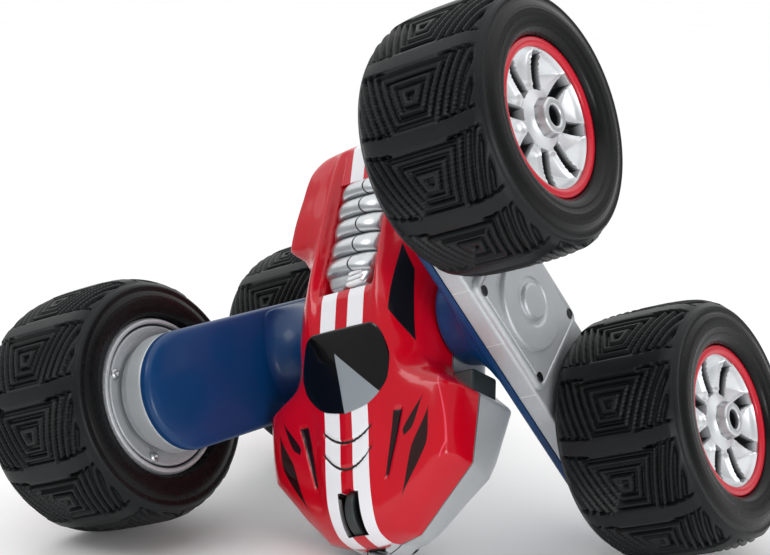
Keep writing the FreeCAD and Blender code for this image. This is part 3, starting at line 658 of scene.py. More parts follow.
def rim_silver():
    paint = Paint("rim_silver")
    radius = paint.away(0.0, 0.0)
    turn = paint.bearing()
    swing = turn % SPOKE_STEP - SPOKE_STEP / 2
    gap = abs(radius * swing.sine())
    dark = gap.fade(2.9, 2.5) * radius.fade(12.6, 13.2) * radius.fade(28.7, 28.2)
    cloud = paint.noise(5.0, 2.0)
    fine = paint.noise(0.35, 2.0)
    tone = paint.mix(cloud, srgb(206, 210, 213), srgb(222, 225, 227))
    paint.set(base_color=paint.mix(dark, tone, srgb(18, 20, 22)))
    paint.set(metallic=0.7 - 0.68 * dark)
    paint.set(roughness=0.36 + 0.08 * fine + 0.2 * dark)
    paint.relief(fine * 0.015)
    return paint.material


def hub_silver():
    paint = Paint("hub_silver")
    # The bore in the hub's collar is painted near black, with less metal: painted shade in the hole.
    recess_shade = paint.away(0.0, 0.0).fade(4.45, 4.3)
    fine = paint.noise(0.5, 3.0)
    tone = paint.mix(fine, srgb(186, 190, 193), srgb(220, 223, 224))
    paint.set(base_color=paint.mix(recess_shade, tone, srgb(16, 18, 19)))
    paint.set(metallic=0.8 - 0.75 * recess_shade)
    paint.set(roughness=0.26 + 0.12 * fine)
    paint.relief(fine * 0.02)
    return paint.material


RIM_SILVER = rim_silver()
HUB_SILVER = hub_silver()
BARREL_BLACK = plastic("barrel_black", srgb(12, 13, 14), srgb(22, 23, 25), 0.45, 0.03, 0.6, True)


def make_ring(side, end):
    low = RING_PLANE - 2.0
    line = fillet([(low, 31.4), (low, RING_INNER), (RING_PLANE - 0.5, RING_INNER),
                   (RING_PLANE + 0.4, 31.0), (RING_PLANE, BARREL_RADIUS), (low, BARREL_RADIUS),
                   (low, 31.4)], 0.8)
    body = Body().add(lathe(line, 256), 0, round_v=True)
    name = side + "_" + end
    mesh = make_mesh(name + "_red_ring", body, WHEELS[side, end], 50)
    show(mesh, [RING_RED], name + "_wheel", "red_ring", name + "_rim_ring")


def ring_red():
    paint = Paint("ring_red", coat_weight=0.4, coat_roughness=0.08, specular_ior_level=0.3)
    cloud = paint.noise(7.0, 3.0)
    fine = paint.noise(0.4, 2.0)
    paint.set(base_color=paint.mix(cloud * 0.6 + fine * 0.4, srgb(184, 4, 32), srgb(198, 8, 40)))
    paint.set(roughness=0.26 + 0.08 * fine)
    paint.relief(fine * 0.012)
    return paint.material


RING_RED = ring_red()


# ---- back plate and its screws ------------------------------------------------------------------

PLATE_GAP = 1.75
PLATE_THICKNESS = 4.0
PLATE_FACE = -WHEEL_X + ARM_DECK_X + PLATE_GAP + PLATE_THICKNESS
SCREW_COUNT = 4
SCREW_RING = 29.2
SCREW_SINK = 1.4


def make_back_plate(side, end):
    top = PLATE_FACE
    line = fillet([(top + 3.0, 6.6), (top, 6.6), (top, 24.5), (top - 0.6, 26.0), (top - 2.2, 31.4),
                   (top - 1.2, 31.9), (top - 1.2, 32.7), (top - 2.7, 33.1), (top - 2.5, 34.6),
                   (top - 0.6, BACK_RADIUS), (top + 3.0, BACK_RADIUS), (top + 3.0, 6.6)], 0.5)
    body = Body().add(lathe(line, 256), 0, round_v=True)
    name = side + "_" + end
    mesh = make_mesh(name + "_back_disc", body, WHEELS[side, end], 40)
    show(mesh, [BACK_SILVER], name + "_wheel", "silver_plastic", name + "_back_plate")


def back_silver():
    paint = Paint("back_silver", metallic=0.55)
    radius = paint.away(0.0, 0.0)
    groove = radius.line(32.3, 0.35, 0.2)
    pebble = paint.cells(1.1)
    cloud = paint.noise(8.0, 2.0)
    tone = paint.mix(cloud * 0.6 + pebble * 0.4, srgb(168, 172, 176), srgb(196, 199, 202))
    paint.set(base_color=paint.mix(groove, tone, srgb(20, 22, 24)))
    paint.set(roughness=0.42 + 0.1 * pebble)
    paint.relief(pebble * 0.12)
    return paint.material


BACK_SILVER = back_silver()


def ring_of_copies(name, master, count, radius, start, lift, place, material):
    """A Geometry Nodes circle of copies of a master mesh, made real."""
    group = bpy.data.node_groups.new(name, "GeometryNodeTree")
    face = group.interface
    kinds = {"Geometry": "Geometry", "Master": "Object", "Count": "Int", "Radius": "Float",
             "Start": "Float", "Lift": "Float", "Material": "Material"}
    for label, kind in kinds.items():
        face.new_socket(label, in_out="INPUT", socket_type="NodeSocket" + kind)
    face.new_socket("Geometry", in_out="OUTPUT", socket_type="NodeSocketGeometry")
    given = group.nodes.new("NodeGroupInput")
    result = group.nodes.new("NodeGroupOutput")
    circle = group.nodes.new("GeometryNodeMeshCircle")
    turn = group.nodes.new("GeometryNodeTransform")
    spin = group.nodes.new("ShaderNodeCombineXYZ")
    shift = group.nodes.new("ShaderNodeCombineXYZ")
    info = group.nodes.new("GeometryNodeObjectInfo")
    copies = group.nodes.new("GeometryNodeInstanceOnPoints")
    real = group.nodes.new("GeometryNodeRealizeInstances")
    paint = group.nodes.new("GeometryNodeSetMaterial")
    link = group.links.new
    link(given.outputs["Count"], circle.inputs["Vertices"])
    link(given.outputs["Radius"], circle.inputs["Radius"])
    link(given.outputs["Start"], spin.inputs["Z"])
    link(given.outputs["Lift"], shift.inputs["Z"])
    link(circle.outputs["Mesh"], turn.inputs["Geometry"])
    link(spin.outputs[0], turn.inputs["Rotation"])
    link(shift.outputs[0], turn.inputs["Translation"])
    link(turn.outputs["Geometry"], copies.inputs["Points"])
    link(given.outputs["Master"], info.inputs["Object"])
    link(info.outputs["Geometry"], copies.inputs["Instance"])
    link(copies.outputs["Instances"], real.inputs["Geometry"])
    link(real.outputs["Geometry"], paint.inputs["Geometry"])
    link(given.outputs["Material"], paint.inputs["Material"])
    link(paint.outputs["Geometry"], result.inputs["Geometry"])
    holder = bpy.data.objects.new(name + "_maker", bpy.data.meshes.new(name + "_maker"))
    bpy.context.scene.collection.objects.link(holder)
    modifier = holder.modifiers.new("copies", "NODES")
    modifier.node_group = group
    values = {"Master": master, "Count": count, "Radius": radius, "Start": start, "Lift": lift,
              "Material": material}
    for item in face.items_tree:
        if item.in_out == "INPUT" and item.name in values:
            modifier[item.identifier] = values[item.name]
    bpy.context.view_layer.update()
    graph = bpy.context.evaluated_depsgraph_get()
    made = bpy.data.meshes.new_from_object(holder.evaluated_get(graph))
    made.name = name
    bpy.data.objects.remove(holder)
    flat = np.zeros(len(made.vertices) * 3, np.float32)
    made.vertices.foreach_get("co", flat)
    spots = flat.reshape(-1, 3).astype(float)
    local = np.stack([spots[:, 2], spots[:, 0], spots[:, 1]], 1)
    made.vertices.foreach_set("co", place.put(local).astype(np.float32).ravel())
    mark = made.attributes.get("local") or made.attributes.new("local", "FLOAT_VECTOR", "POINT")
    mark.data.foreach_set("vector", local.astype(np.float32).ravel())
    face_outwards(made)
    made.set_sharp_from_angle(angle=math.radians(40))
    made.materials.clear()
    return made


def screw_master(name, head, height, shank, length):
    """A pan-head screw with a round dimple, its axis along Z."""
    line = fillet([(length, 0), (length, shank), (0, shank), (0, head), (-0.6 * height, head),
                   (-height, 0.55 * head), (-height, 0.34 * head), (-0.45 * height, 0.1 * head),
                   (-0.45 * height, 0)], 0.25 * head, 4)
    grid = lathe(line, 32)
    body = Body().add(grid, 0, round_v=True)
    mesh = bpy.data.meshes.new(name)
    points = np.concatenate(body.points)[:, [1, 2, 0]]
    mesh.from_pydata(points, [], np.concatenate(body.faces))
    face_outwards(mesh, merge=1e-4)
    mesh.shade_smooth()
    return bpy.data.objects.new(name, mesh)


WHEEL_SCREW = screw_master("wheel_screw_master", head=2.5, height=1.7, shank=1.1, length=9.0)


def make_wheel_screws(side, end):
    name = side + "_" + end + "_wheel_screws"
    mesh = ring_of_copies(name + "_set", WHEEL_SCREW, SCREW_COUNT, SCREW_RING, math.pi / 3,
                          PLATE_FACE - SCREW_SINK, WHEELS[side, end], SCREW_BRIGHT)
    show(mesh, [SCREW_BRIGHT], side + "_" + end + "_wheel", "screw", name)


def screw_bright():
    paint = Paint("screw_bright", metallic=1.0)
    streak = paint.noise(0.3, 3.0, (1.0, 4.0, 1.0))
    paint.set(base_color=paint.mix(streak, srgb(120, 124, 128), srgb(214, 216, 218)))
    paint.set(roughness=0.2 + 0.2 * streak)
    paint.relief(streak * 0.02)
    return paint.material


SCREW_BRIGHT = screw_bright()


# ---- swing arms ---------------------------------------------------------------------------------


def make_outer_cover(side):
    body = Body()
    wall = fillet([(2.2, ARM_SEAM_X + 0.1), (0, ARM_SEAM_X + 0.1), (0, ARM_DECK_X),
                   (ARM_WIDTH, ARM_DECK_X)], 1.6, 6)
    floor = [(ARM_WIDTH, ARM_SEAM_X + 2.2), (2.2, ARM_SEAM_X + 2.2)]
    body.add(stadium(wall, ARM_WIDTH), 0, round_v=True)
    body.add(stadium(floor + [wall[0]], ARM_WIDTH), 0, round_v=True)
    plate = fillet([(ARM_WIDTH, ARM_DECK_X - 1), (0.5, ARM_DECK_X - 1), (0.5, ARM_PLATE_X - 0.9),
                    (1.9, ARM_PLATE_X), (3.2, ARM_PLATE_X), (3.5, ARM_PLATE_X - 0.4),
                    (3.9, ARM_PLATE_X - 0.4), (4.2, ARM_PLATE_X), (ARM_WIDTH, ARM_PLATE_X)], 0.5)
    body.add(square_sweep(plate, ARM_PLATE_HALF, ARM_WIDTH - 0.3, ARM_PLATE_CORNER), 0, round_v=True)
    disc = fillet([(ARM_PLATE_X - 1, 0), (ARM_PLATE_X - 1, 21.9), (ARM_DISC_X - 0.6, 21.9),
                   (ARM_DISC_X, 21.0), (ARM_DISC_X, 11.4), (ARM_DISC_X - 0.7, 10.8),
                   (ARM_DISC_X - 0.7, 8.7), (ARM_DISC_X + 0.8, 8.3), (ARM_DISC_X + 1.5, 7.4),
                   (ARM_DISC_X + 1.5, 0)], 0.5)
    body.add(lathe(disc, 160), 0, round_v=True)
    for at in (-HALF_WHEELBASE, HALF_WHEELBASE):
        drum = fillet([(ARM_DECK_X - 1, 0), (ARM_DECK_X - 1, 25.2), (ARM_DECK_X + 0.6, 24.4),
                       (DRUM_X - 0.4, 24.3), (DRUM_X, 23.8), (DRUM_X, 0)], 0.5)
        body.add(lathe(drum, 120, at), 0, round_v=True)
    mesh = make_mesh(side + "_arm_shell", body, ARMS[side], 35)
    show(mesh, [ARM_SILVER], side + "_arm", "silver_plastic", side + "_outer_cover")


def arm_silver():
    paint = Paint("arm_silver", metallic=0.5)
    pebble = paint.cells(0.9)
    cloud = paint.noise(12.0, 2.0)
    flake = paint.noise(0.4, 2.0)
    seam = paint.y.line(0.0, 0.18, 0.12) | abs(paint.y).line(30.0, 0.18, 0.12)
    seam = seam * paint.x.fade(ARM_DECK_X - 0.4, ARM_DECK_X - 0.9)
    hole = (abs(paint.y) - 25.0) ** 2.0 + (abs(paint.z) - 21.8) ** 2.0
    hole = (hole ** 0.5).fade(2.6, 2.3) * paint.x.fade(ARM_PLATE_X - 0.6, ARM_PLATE_X - 0.2)
    tone = paint.mix(cloud * 0.5 + flake * 0.5, srgb(176, 180, 184), srgb(202, 206, 209))
    tone = paint.mix(seam, tone, srgb(228, 231, 232))
    paint.set(base_color=paint.mix(hole, tone, srgb(24, 26, 28)))
    paint.set(roughness=0.4 + 0.1 * pebble)
    paint.relief(pebble * 0.05 + seam * 0.15 - hole * 1.2)
    return paint.material


ARM_SILVER = arm_silver()


def make_inner_cover(side):
    body = Body()
    rim = [(2.2, ARM_SEAM_X - 0.1), (0, ARM_SEAM_X - 0.1), (0, ARM_INNER_X + 2.4),
           (0.7, ARM_INNER_X + 0.9), (2.2, ARM_INNER_X + 0.1), (6.0, ARM_INNER_X - 0.5),
           (14.0, ARM_INNER_X - 0.9), (20.0, ARM_INNER_X - 1.0), (ARM_WIDTH, ARM_INNER_X - 1.0)]
    skin = smooth_line(rim, 46)
    under = [(ARM_WIDTH, ARM_SEAM_X - 2.0), (2.2, ARM_SEAM_X - 2.0), (2.2, ARM_SEAM_X - 0.1)]
    body.add(stadium(skin, ARM_WIDTH), 0, round_v=True)
    body.add(stadium(under, ARM_WIDTH), 0, round_v=True)
    neck = [(ARM_INNER_X + 1.5, 0), (ARM_INNER_X + 1.5, 34.0), (ARM_INNER_X - 0.2, 33.0),
            (ARM_INNER_X - 1.4, 29.5), (ARM_INNER_X - 3.4, 26.6), (ARM_INNER_X - 7.0, 24.2),
            (ARM_INNER_X - 12.0, 22.6), (COLLAR_X + 1.6, 21.9), (COLLAR_X + 0.4, 21.2),
            (COLLAR_X, 20.0), (COLLAR_X, 0)]
    horn = lathe(smooth_line(neck, 90), 160)
    limit = 25.6
    tall = np.abs(horn[..., 2])
    horn[..., 2] = np.sign(horn[..., 2]) * np.where(
        tall > limit - 4, limit - 4 + 4 * np.tanh((tall - limit + 4) / 4), tall)
    body.add(horn, 0, round_v=True)
    mesh = make_mesh(side + "_arm_cover", body, ARMS[side], 45)
    show(mesh, [ARM_BLUE], side + "_arm", "blue_plastic", side + "_inner_cover")


def arm_blue():
    paint = Paint("arm_blue", coat_weight=0.15, coat_roughness=0.1, specular_ior_level=0.3)
    cloud = paint.noise(20.0, 2.0)
    fine = paint.noise(0.7, 2.0)
    paint.set(base_color=paint.mix(cloud * 0.7 + fine * 0.3, srgb(0, 48, 92), srgb(0, 58, 110)))
    paint.set(roughness=0.34 + 0.06 * fine)
    paint.relief(fine * 0.01)
    return paint.material


ARM_BLUE = arm_blue()


# ---- fuselage form ------------------------------------------------------------------------------

# Half sections from the middle line out to the seam, (x, z) at each y station.
SECTIONS = [
    (-103.8, [(0, 9.5), (2.0, 9.2), (3.4, 8.8), (4.6, 8.4),
              (5.4, 7.9), (5.9, 7.3), (6.2, 6.8), (6.2, 6.1)]),
    (-102.4, [(0, 15.5), (4.0, 15.0), (6.5, 14.0), (8.2, 12.8),
              (9.4, 11.2), (10.0, 9.5), (10.2, 8.0), (10.2, 6.1)]),
    (-100.0, [(0, 20.6), (6.5, 20.0), (10.5, 18.6), (13.0, 16.8),
              (15.0, 14.4), (16.2, 11.8), (16.8, 9.0), (16.7, 6.1)]),
    (-95.0, [(0, 24.9), (9.5, 24.0), (14.5, 22.2), (18.0, 20.2),
             (21.0, 17.4), (22.8, 14.2), (23.6, 10.0), (23.5, 6.1)]),
    (-88.0, [(0, 27.7), (11.5, 27.0), (17.0, 25.2), (23.0, 24.0),
             (28.5, 21.2), (32.5, 17.2), (33.6, 11.5), (33.4, 6.1)]),
    (-80.0, [(0, 29.4), (12.5, 28.9), (18.5, 26.8), (26.5, 26.0),
             (35.0, 23.8), (40.0, 19.6), (41.6, 12.5), (41.4, 6.1)]),
    (-70.0, [(0, 30.8), (13.0, 30.4), (20.5, 27.9), (30.5, 27.4),
             (40.5, 25.8), (46.5, 22.0), (48.2, 13.5), (47.9, 6.1)]),
    (-60.0, [(0, 31.9), (13.2, 31.4), (21.5, 28.9), (32.5, 28.6),
             (43.5, 27.4), (49.6, 24.0), (51.3, 14.5), (51.0, 6.1)]),
    (-50.0, [(0, 33.4), (13.4, 32.7), (22.5, 30.4), (33.5, 30.0),
             (44.5, 28.6), (50.6, 25.4), (52.6, 15.5), (52.4, 6.1)]),
    (-42.0, [(0, 34.9), (14.0, 34.2), (23.5, 32.4), (34.0, 31.2),
             (44.5, 29.0), (50.2, 26.0), (52.4, 16.0), (52.2, 6.1)]),
    (-36.5, [(0, 36.0), (14.5, 35.4), (24.0, 33.6), (33.5, 31.4),
             (42.0, 28.6), (46.6, 25.6), (48.8, 16.0), (48.6, 6.1)]),
    (-31.0, [(0, 37.2), (14.5, 36.8), (24.0, 34.9), (31.0, 31.2),
             (36.5, 27.0), (39.8, 23.6), (41.6, 15.0), (41.4, 6.1)]),
    (-24.0, [(0, 38.7), (14.0, 38.3), (22.5, 36.6), (28.0, 33.0),
             (32.6, 28.2), (35.2, 23.6), (37.0, 14.5), (36.9, 6.1)]),
    (-10.0, [(0, 40.3), (12.5, 40.0), (19.0, 39.9), (25.6, 37.2),
             (31.0, 31.0), (34.8, 24.0), (36.9, 14.5), (36.9, 6.1)]),
    (3.0, [(0, 40.5), (14.0, 40.2), (18.8, 41.2), (25.0, 38.0),
           (31.0, 30.6), (34.8, 23.6), (36.9, 14.5), (36.9, 6.1)]),
    (12.0, [(0, 38.0), (15.2, 37.8), (19.0, 41.2), (24.6, 37.4),
            (30.8, 30.0), (34.8, 23.2), (36.9, 14.5), (36.9, 6.1)]),
    (27.0, [(0, 35.0), (15.5, 34.8), (19.0, 39.4), (24.2, 35.0),
            (30.5, 29.0), (34.9, 23.0), (37.0, 14.5), (36.9, 6.1)]),
    (35.0, [(0, 33.4), (15.5, 33.2), (19.0, 38.2), (23.8, 33.4),
            (31.5, 28.6), (38.2, 24.2), (39.8, 14.5), (39.6, 6.1)]),
    (43.0, [(0, 32.3), (15.5, 32.0), (19.0, 36.8), (23.4, 31.9),
            (33.5, 29.4), (46.6, 26.4), (47.0, 15.0), (46.6, 6.1)]),
    (52.0, [(0, 30.7), (15.5, 30.4), (19.0, 35.2), (23.2, 30.6),
            (33.2, 29.0), (45.4, 26.4), (45.8, 15.0), (45.4, 6.1)]),
    (68.0, [(0, 27.9), (15.0, 28.2), (19.0, 32.0), (23.0, 28.6),
            (32.0, 27.6), (41.8, 25.6), (42.2, 14.5), (41.8, 6.1)]),
    (80.0, [(0, 27.2), (13.5, 27.2), (18.5, 29.2), (22.4, 27.6),
            (29.5, 26.8), (38.2, 25.0), (38.6, 14.0), (38.2, 6.1)]),
    (86.5, [(0, 26.6), (12.5, 26.5), (17.0, 27.2), (20.5, 26.6),
            (25.5, 26.0), (31.0, 24.4), (31.6, 14.0), (31.2, 6.1)]),
    (89.5, [(0, 24.5), (10.0, 24.3), (14.0, 24.2), (17.0, 23.8),
            (20.5, 23.0), (23.0, 21.0), (23.4, 13.0), (23.0, 6.1)]),
]
# The hood's outline at the seam, straight between its corners: (y, half width).
HOOD_OUTLINE = [(-103.8, 6.2), (-102.2, 14.0), (-99.6, 23.6), (-71.0, 49.8), (-40.2, 52.3),
                (-31.0, 41.4)]
STATIONS = np.array([y for y, points in SECTIONS])
SECTION_POINTS = np.array([points for y, points in SECTIONS], float)


def half_section(y, columns):
    """Points of the half section at each y, in columns from the middle to the seam."""
    rows = blend_curve(STATIONS, SECTION_POINTS, np.atleast_1d(y))
    made = []
    for at, row in zip(np.atleast_1d(y), rows):
        width = row[-1, 0]
        if at < HOOD_OUTLINE[-1][0]:
            width = np.interp(at, *zip(*HOOD_OUTLINE))
        row = row * np.stack([1 + (width / row[-1, 0] - 1) * (row[:, 0] / row[-1, 0]) ** 2,
                              np.ones(len(row))], 1)
        made.append(smooth_line(row, columns))
    return np.array(made)


def deck(x, y):
    """Height of the upper shell's surface above each (x, y)."""
    x, y = np.broadcast_arrays(x, y)
    rows = half_section(y.ravel(), 60)
    flat = [np.interp(a, row[:, 0], row[:, 1]) for a, row in zip(np.abs(x).ravel(), rows)]
    return np.array(flat).reshape(x.shape)


# Curved grooves across the hood: the middle's y, and how fast each end curls back.
HOOD_GROOVES = ((-61.3, 0.034), (-73.0, 0.046))
# Vents that lean in towards the nose.
VENT_BACK = -49.0
VENT_RUN = 30.0
VENT_X = 27.0
VENT_LEAN = 7.5
# Slot for the nose roller; its back edge is curved.
SLOT_HALF = 5.7
SLOT_BACK = -82.2
SLOT_FRONT = -100.3
SLOT_CURL = 0.09


def smile(x, y, middle, curl):
    """Distance behind a curved groove."""
    return y - middle - curl * x * x


def shell_relief(x, y):
    """Sinks of the red shell: engine well, grooves and vents."""
    a = np.abs(x)
    well = stroke(a, 14.9, 0.6) * stroke(y - 38.0, 29.6, 0.6)
    lift = -7.0 * well
    for groove in HOOD_GROOVES:
        lift = lift - 0.9 * stroke(smile(x, y, *groove), 0.55, 0.4) * stroke(a, 12.0, 3.0)
    share = np.clip((VENT_BACK - y) / VENT_RUN, 0, 1)
    vent = stroke(a - (VENT_X - VENT_LEAN * share), 1.6 - 1.3 * share, 1.4)
    vent = vent * stroke(y + 64.0, 13.0, 3.0)
    return lift - 0.8 * vent


def closed_tail(sheet, height):
    """The sheet with an end wall that runs from its last row to the given height."""
    rows = [sheet]
    for share in (0.97, 0.88, 0.7, 0.45, 0.2, 0.0):
        row = sheet[-1].copy()
        row[:, 2] = height + (row[:, 2] - height) * share
        row[:, 1] += 0.7 * (1 - share) ** 0.5
        rows.append(row[None])
    return np.concatenate(rows)


def make_upper_shell():
    y = even([(v,) for v in STATIONS[[0, -1]]], 0.85)[:, 0]
    inner_x = np.array([0, 1, 2, 3, 4, 4.8, 5.4, 5.68, 5.72, 6.1])
    rows = []
    for row in half_section(y, 200):
        rest = row[np.linspace(np.searchsorted(row[:, 0], 6.11), 199, 84).astype(int)]
        middle = np.stack([inner_x, np.interp(inner_x, row[:, 0], row[:, 1])], 1)
        rows.append(np.concatenate([middle, rest]))
    half = np.array(rows)
    x = np.concatenate([-half[:, ::-1, 0], half[:, 1:, 0]], 1)
    z = np.concatenate([half[:, ::-1, 1], half[:, 1:, 1]], 1)
    yy = y[:, None] + 0 * x
    z = z + shell_relief(x, yy) * (np.abs(x) < 48)
    slot = (np.abs(x) < SLOT_HALF) * (yy + SLOT_CURL * x * x < SLOT_BACK) * (yy > SLOT_FRONT)
    z = z * (1 - slot) + np.minimum(z, SEAM_Z + 0.15) * slot
    outer = np.stack([x, yy, z], -1)
    shrink = 1 - 2.0 / np.maximum(np.abs(x).max(1), 4.0)[:, None]
    inner = np.stack([x * shrink, yy * 0.985, np.maximum(z - 2.0, UPPER_SEAM)], -1)
    body = Body().slab(closed_tail(outer, UPPER_SEAM), closed_tail(inner, UPPER_SEAM))
    mesh = make_mesh("red_shell_skin", body, FUSELAGE, 50)
    show(mesh, [SHELL_RED], "fuselage", "red_shell", "upper_shell")


def shell_red():
    paint = Paint("shell_red", coat_weight=0.4, coat_roughness=0.05, specular_ior_level=0.25)
    x, y = abs(paint.x), paint.y
    up = paint.z.fade(9.0, 11.0)
    outer = 12.3 - (y + 88.0).fade(2.0, -16.0) * 1.0
    white = x.fade(3.3, 3.55) * (outer - x).fade(-0.1, 0.15) * y.fade(9.5, 9.2)
    tail = x.fade(2.6, 2.85) * x.fade(10.6, 10.35) * y.fade(68.3, 68.6)
    white = (white | tail) * up
    # Masks of the hood's grooves and vents, which are painted dark red below as painted shade.
    near, far = (abs(smile(x, y, *groove)).fade(0.8, 0.45) for groove in HOOD_GROOVES)
    groove = (near | far) * x.fade(14.2, 12.8)
    share = (VENT_BACK - y) / VENT_RUN
    vent = abs(x - VENT_X + VENT_LEAN * share) - (2.4 - 1.9 * share)
    vent = vent.fade(0.35, 0.0) * y.fade(-49.6, -50.4) * y.fade(-79.0, -77.0)
    long = (y + 89.0) / 39.0
    slash = abs(x - 24.6 - 25.5 * long + 7.5 * long * long)
    slash = slash - 3.6 * (long.fade(0.0, 0.62) * long.fade(1.02, 0.55))
    slash = slash.fade(0.15, -0.15) * y.fade(-90.0, -88.0) * y.fade(-49.5, -51.0)
    short = (y + 62.0) / 18.0
    hook = abs(x - 29.4 - 11.5 * short) - 2.3 * short.fade(1.0, 0.2) * short.fade(-0.02, 0.18)
    hook = hook.fade(0.15, -0.15) * y.fade(-62.2, -61.8) * y.fade(-44.0, -45.0)
    panel = (x - 24.7 - 0.0597 * (y + 5.5)).fade(-0.1, 0.15) & (
        x - 24.7 + 0.6148 * (y + 5.5)).fade(-0.1, 0.15)
    panel = panel & (33.0 - 0.0441 * (y + 19.0) - x).fade(-0.1, 0.15) & (
        31.5 - 0.3692 * (y - 15.0) - x).fade(-0.1, 0.15)
    cloud = paint.noise(22.0, 2.0)
    fine = paint.noise(0.5, 2.0)
    red = paint.mix(cloud * 0.8 + fine * 0.2, srgb(188, 0, 24), srgb(200, 2, 32))
    tone = paint.mix(white, red, srgb(236, 236, 240))
    # Grooves and vents painted dark red: painted shade in the sunk lines.
    tone = paint.mix(groove | vent, tone, srgb(30, 6, 10))
    tone = paint.mix(slash | hook, tone, srgb(38, 8, 10))
    tone = paint.mix(panel, tone, srgb(16, 14, 18))
    # A light pink line along the hood's shoulder crease and its turn at the corner: a painted highlight.
    run = -35.7 - y
    crease = abs(45.2 + 0.33 * run - 0.0074 * run * run - x).fade(0.45, 0.15)
    crease = crease * y.fade(-66.5, -66.0) * y.fade(-36.0, -38.0)
    turn = abs(48.3 + 0.5 * (y + 66.0) - x).fade(0.45, 0.15)
    crease = crease | turn * y.fade(-73.0, -71.0) * y.fade(-65.9, -66.3)
    crease = crease * paint.z.fade(17.0, 19.0)
    tone = paint.mix(crease * 0.7, tone, srgb(236, 84, 104))
    # The roller slot's floor is painted dark: painted shade inside the slot.
    recess_shade = x.fade(SLOT_HALF + 0.05, SLOT_HALF) * y.fade(-82.8, -83.2) * y.fade(-100.6, -100.4)
    tone = paint.mix(recess_shade, tone, srgb(24, 10, 12))
    paint.set(base_color=tone)
    paint.set(roughness=0.2 + 0.05 * fine + 0.25 * groove)
    ripple = paint.noise(7.0, 1.0) * 0.02 + fine * 0.004
    paint.relief(ripple + (slash | hook | panel | white) * 0.03)
    return paint.material


SHELL_RED = shell_red()


def belly(y):
    """Lowest z of the silver lower shell."""
    stations = [-106, -100, -92, -80, -60, 60, 90]
    return blend_curve(stations, [-4, -10, -15, -18, -21.2, -21.2, -13], y)


def make_lower_shell():
    y = even([(v,) for v in (-103.6, 89.5)], 1.5)[:, 0]
    width = half_section(y, 40)[:, -1, 0]
    low = belly(y)
    shape = [(1.0, 0.0), (1.0, 0.3), (0.998, 0.6), (0.992, 0.85), (0.975, 0.96), (0.95, 1.0),
             (0.78, 1.0), (0.4, 1.0), (0.0, 1.0)]
    rows = []
    top = LOWER_SEAM
    for yy, w, zz in zip(y, width, low):
        foot = np.interp(yy, [-104, -95, -64, -42], [0.5, 0.66, 0.88, 1.0])
        half = np.array([(w * u * (1 + (foot - 1) * v), top + (zz - top) * v) for u, v in shape])
        half = smooth_line(half, 60)
        line = np.concatenate([half, half[-2::-1] * (-1, 1)])
        rows.append(np.stack([line[:, 0], np.full(len(line), yy), line[:, 1]], 1))
    outer = np.array(rows)
    slot = stroke(outer[..., 0], 5.9, 0.3) * (1 - smoothstep(-77.0, -76.0, outer[..., 1]))
    outer[..., 2] = outer[..., 2] * (1 - slot) + np.maximum(outer[..., 2], SEAM_Z - 1.0) * slot
    inner = outer * (0.96, 0.985, 1.0)
    inner[..., 2] = np.minimum(outer[..., 2] + 1.6, top)
    body = Body().slab(closed_tail(outer, top), closed_tail(inner, top))
    mesh = make_mesh("silver_skirt", body, FUSELAGE, 45)
    show(mesh, [SKIRT_SILVER], "fuselage", "silver_plastic", "lower_shell")


def skirt_silver():
    paint = Paint("skirt_silver", metallic=0.55)
    pebble = paint.cells(0.8)
    cloud = paint.noise(14.0, 2.0)
    flake = paint.noise(0.35, 2.0)
    tone = paint.mix(cloud * 0.5 + flake * 0.5, srgb(188, 193, 196), srgb(210, 214, 216))
    seam = paint.z.line(SEAM_Z - 0.6, 0.25, 0.2)
    tone = paint.mix(seam, tone, srgb(60, 62, 66))
    # The middle strip under the nose, where the rollers sit, is painted near black: painted shade in the roller
    # slot.
    slot = abs(paint.x).fade(6.3, 6.1) * paint.y.fade(-70.0, -71.0)
    paint.set(base_color=paint.mix(slot, tone, srgb(22, 24, 26)))
    paint.set(roughness=0.38 + 0.1 * pebble)
    paint.relief(pebble * 0.04 - seam * 0.3)
    return paint.material


SKIRT_SILVER = skirt_silver()


# ---- canopy, engine, nose -----------------------------------------------------------------------


CANOPY_Y = -31.0


def make_canopy():
    """Visor with two rear corners, crowned a little above the deck."""
    corners = [(0, -11.0), (9, -10.9), (16.0, -10.9), (19.6, -12.6), (23.0, -18.6), (24.8, -27.0),
               (23.4, -35.0), (18.6, -41.6), (11.4, -46.4), (0, -48.8)]
    half = smooth_line(corners, 90)
    ring = np.concatenate([half, half[-2:0:-1] * (-1, 1)])
    centre = np.array([0, CANOPY_Y])
    rows = []
    for share in np.concatenate([[0], np.linspace(0.04, 0.9, 28), [0.94, 0.97, 0.99, 1.0]]):
        spot = centre + (ring - centre) * share
        rise = 0.25 + 0.5 * math.sqrt(max(0.0, 1 - share ** 6))
        z = deck(spot[:, 0], spot[:, 1]) + rise
        rows.append(np.stack([spot[:, 0], spot[:, 1], z], 1))
    rows.append(rows[-1] - (0, 0, 2.5))
    top = np.array(rows)
    under = top[-1][None] * np.linspace(1, 0, 8)[:, None, None]
    under = under + np.linspace(0, 1, 8)[:, None, None] * np.array([0, CANOPY_Y, 31.0])
    body = Body().add(top, 0, round_v=True).add(under, 0, round_v=True)
    mesh = make_mesh("visor_glass", body, FUSELAGE, 40)
    show(mesh, [VISOR_BLACK], "fuselage", "black_gloss", "canopy")


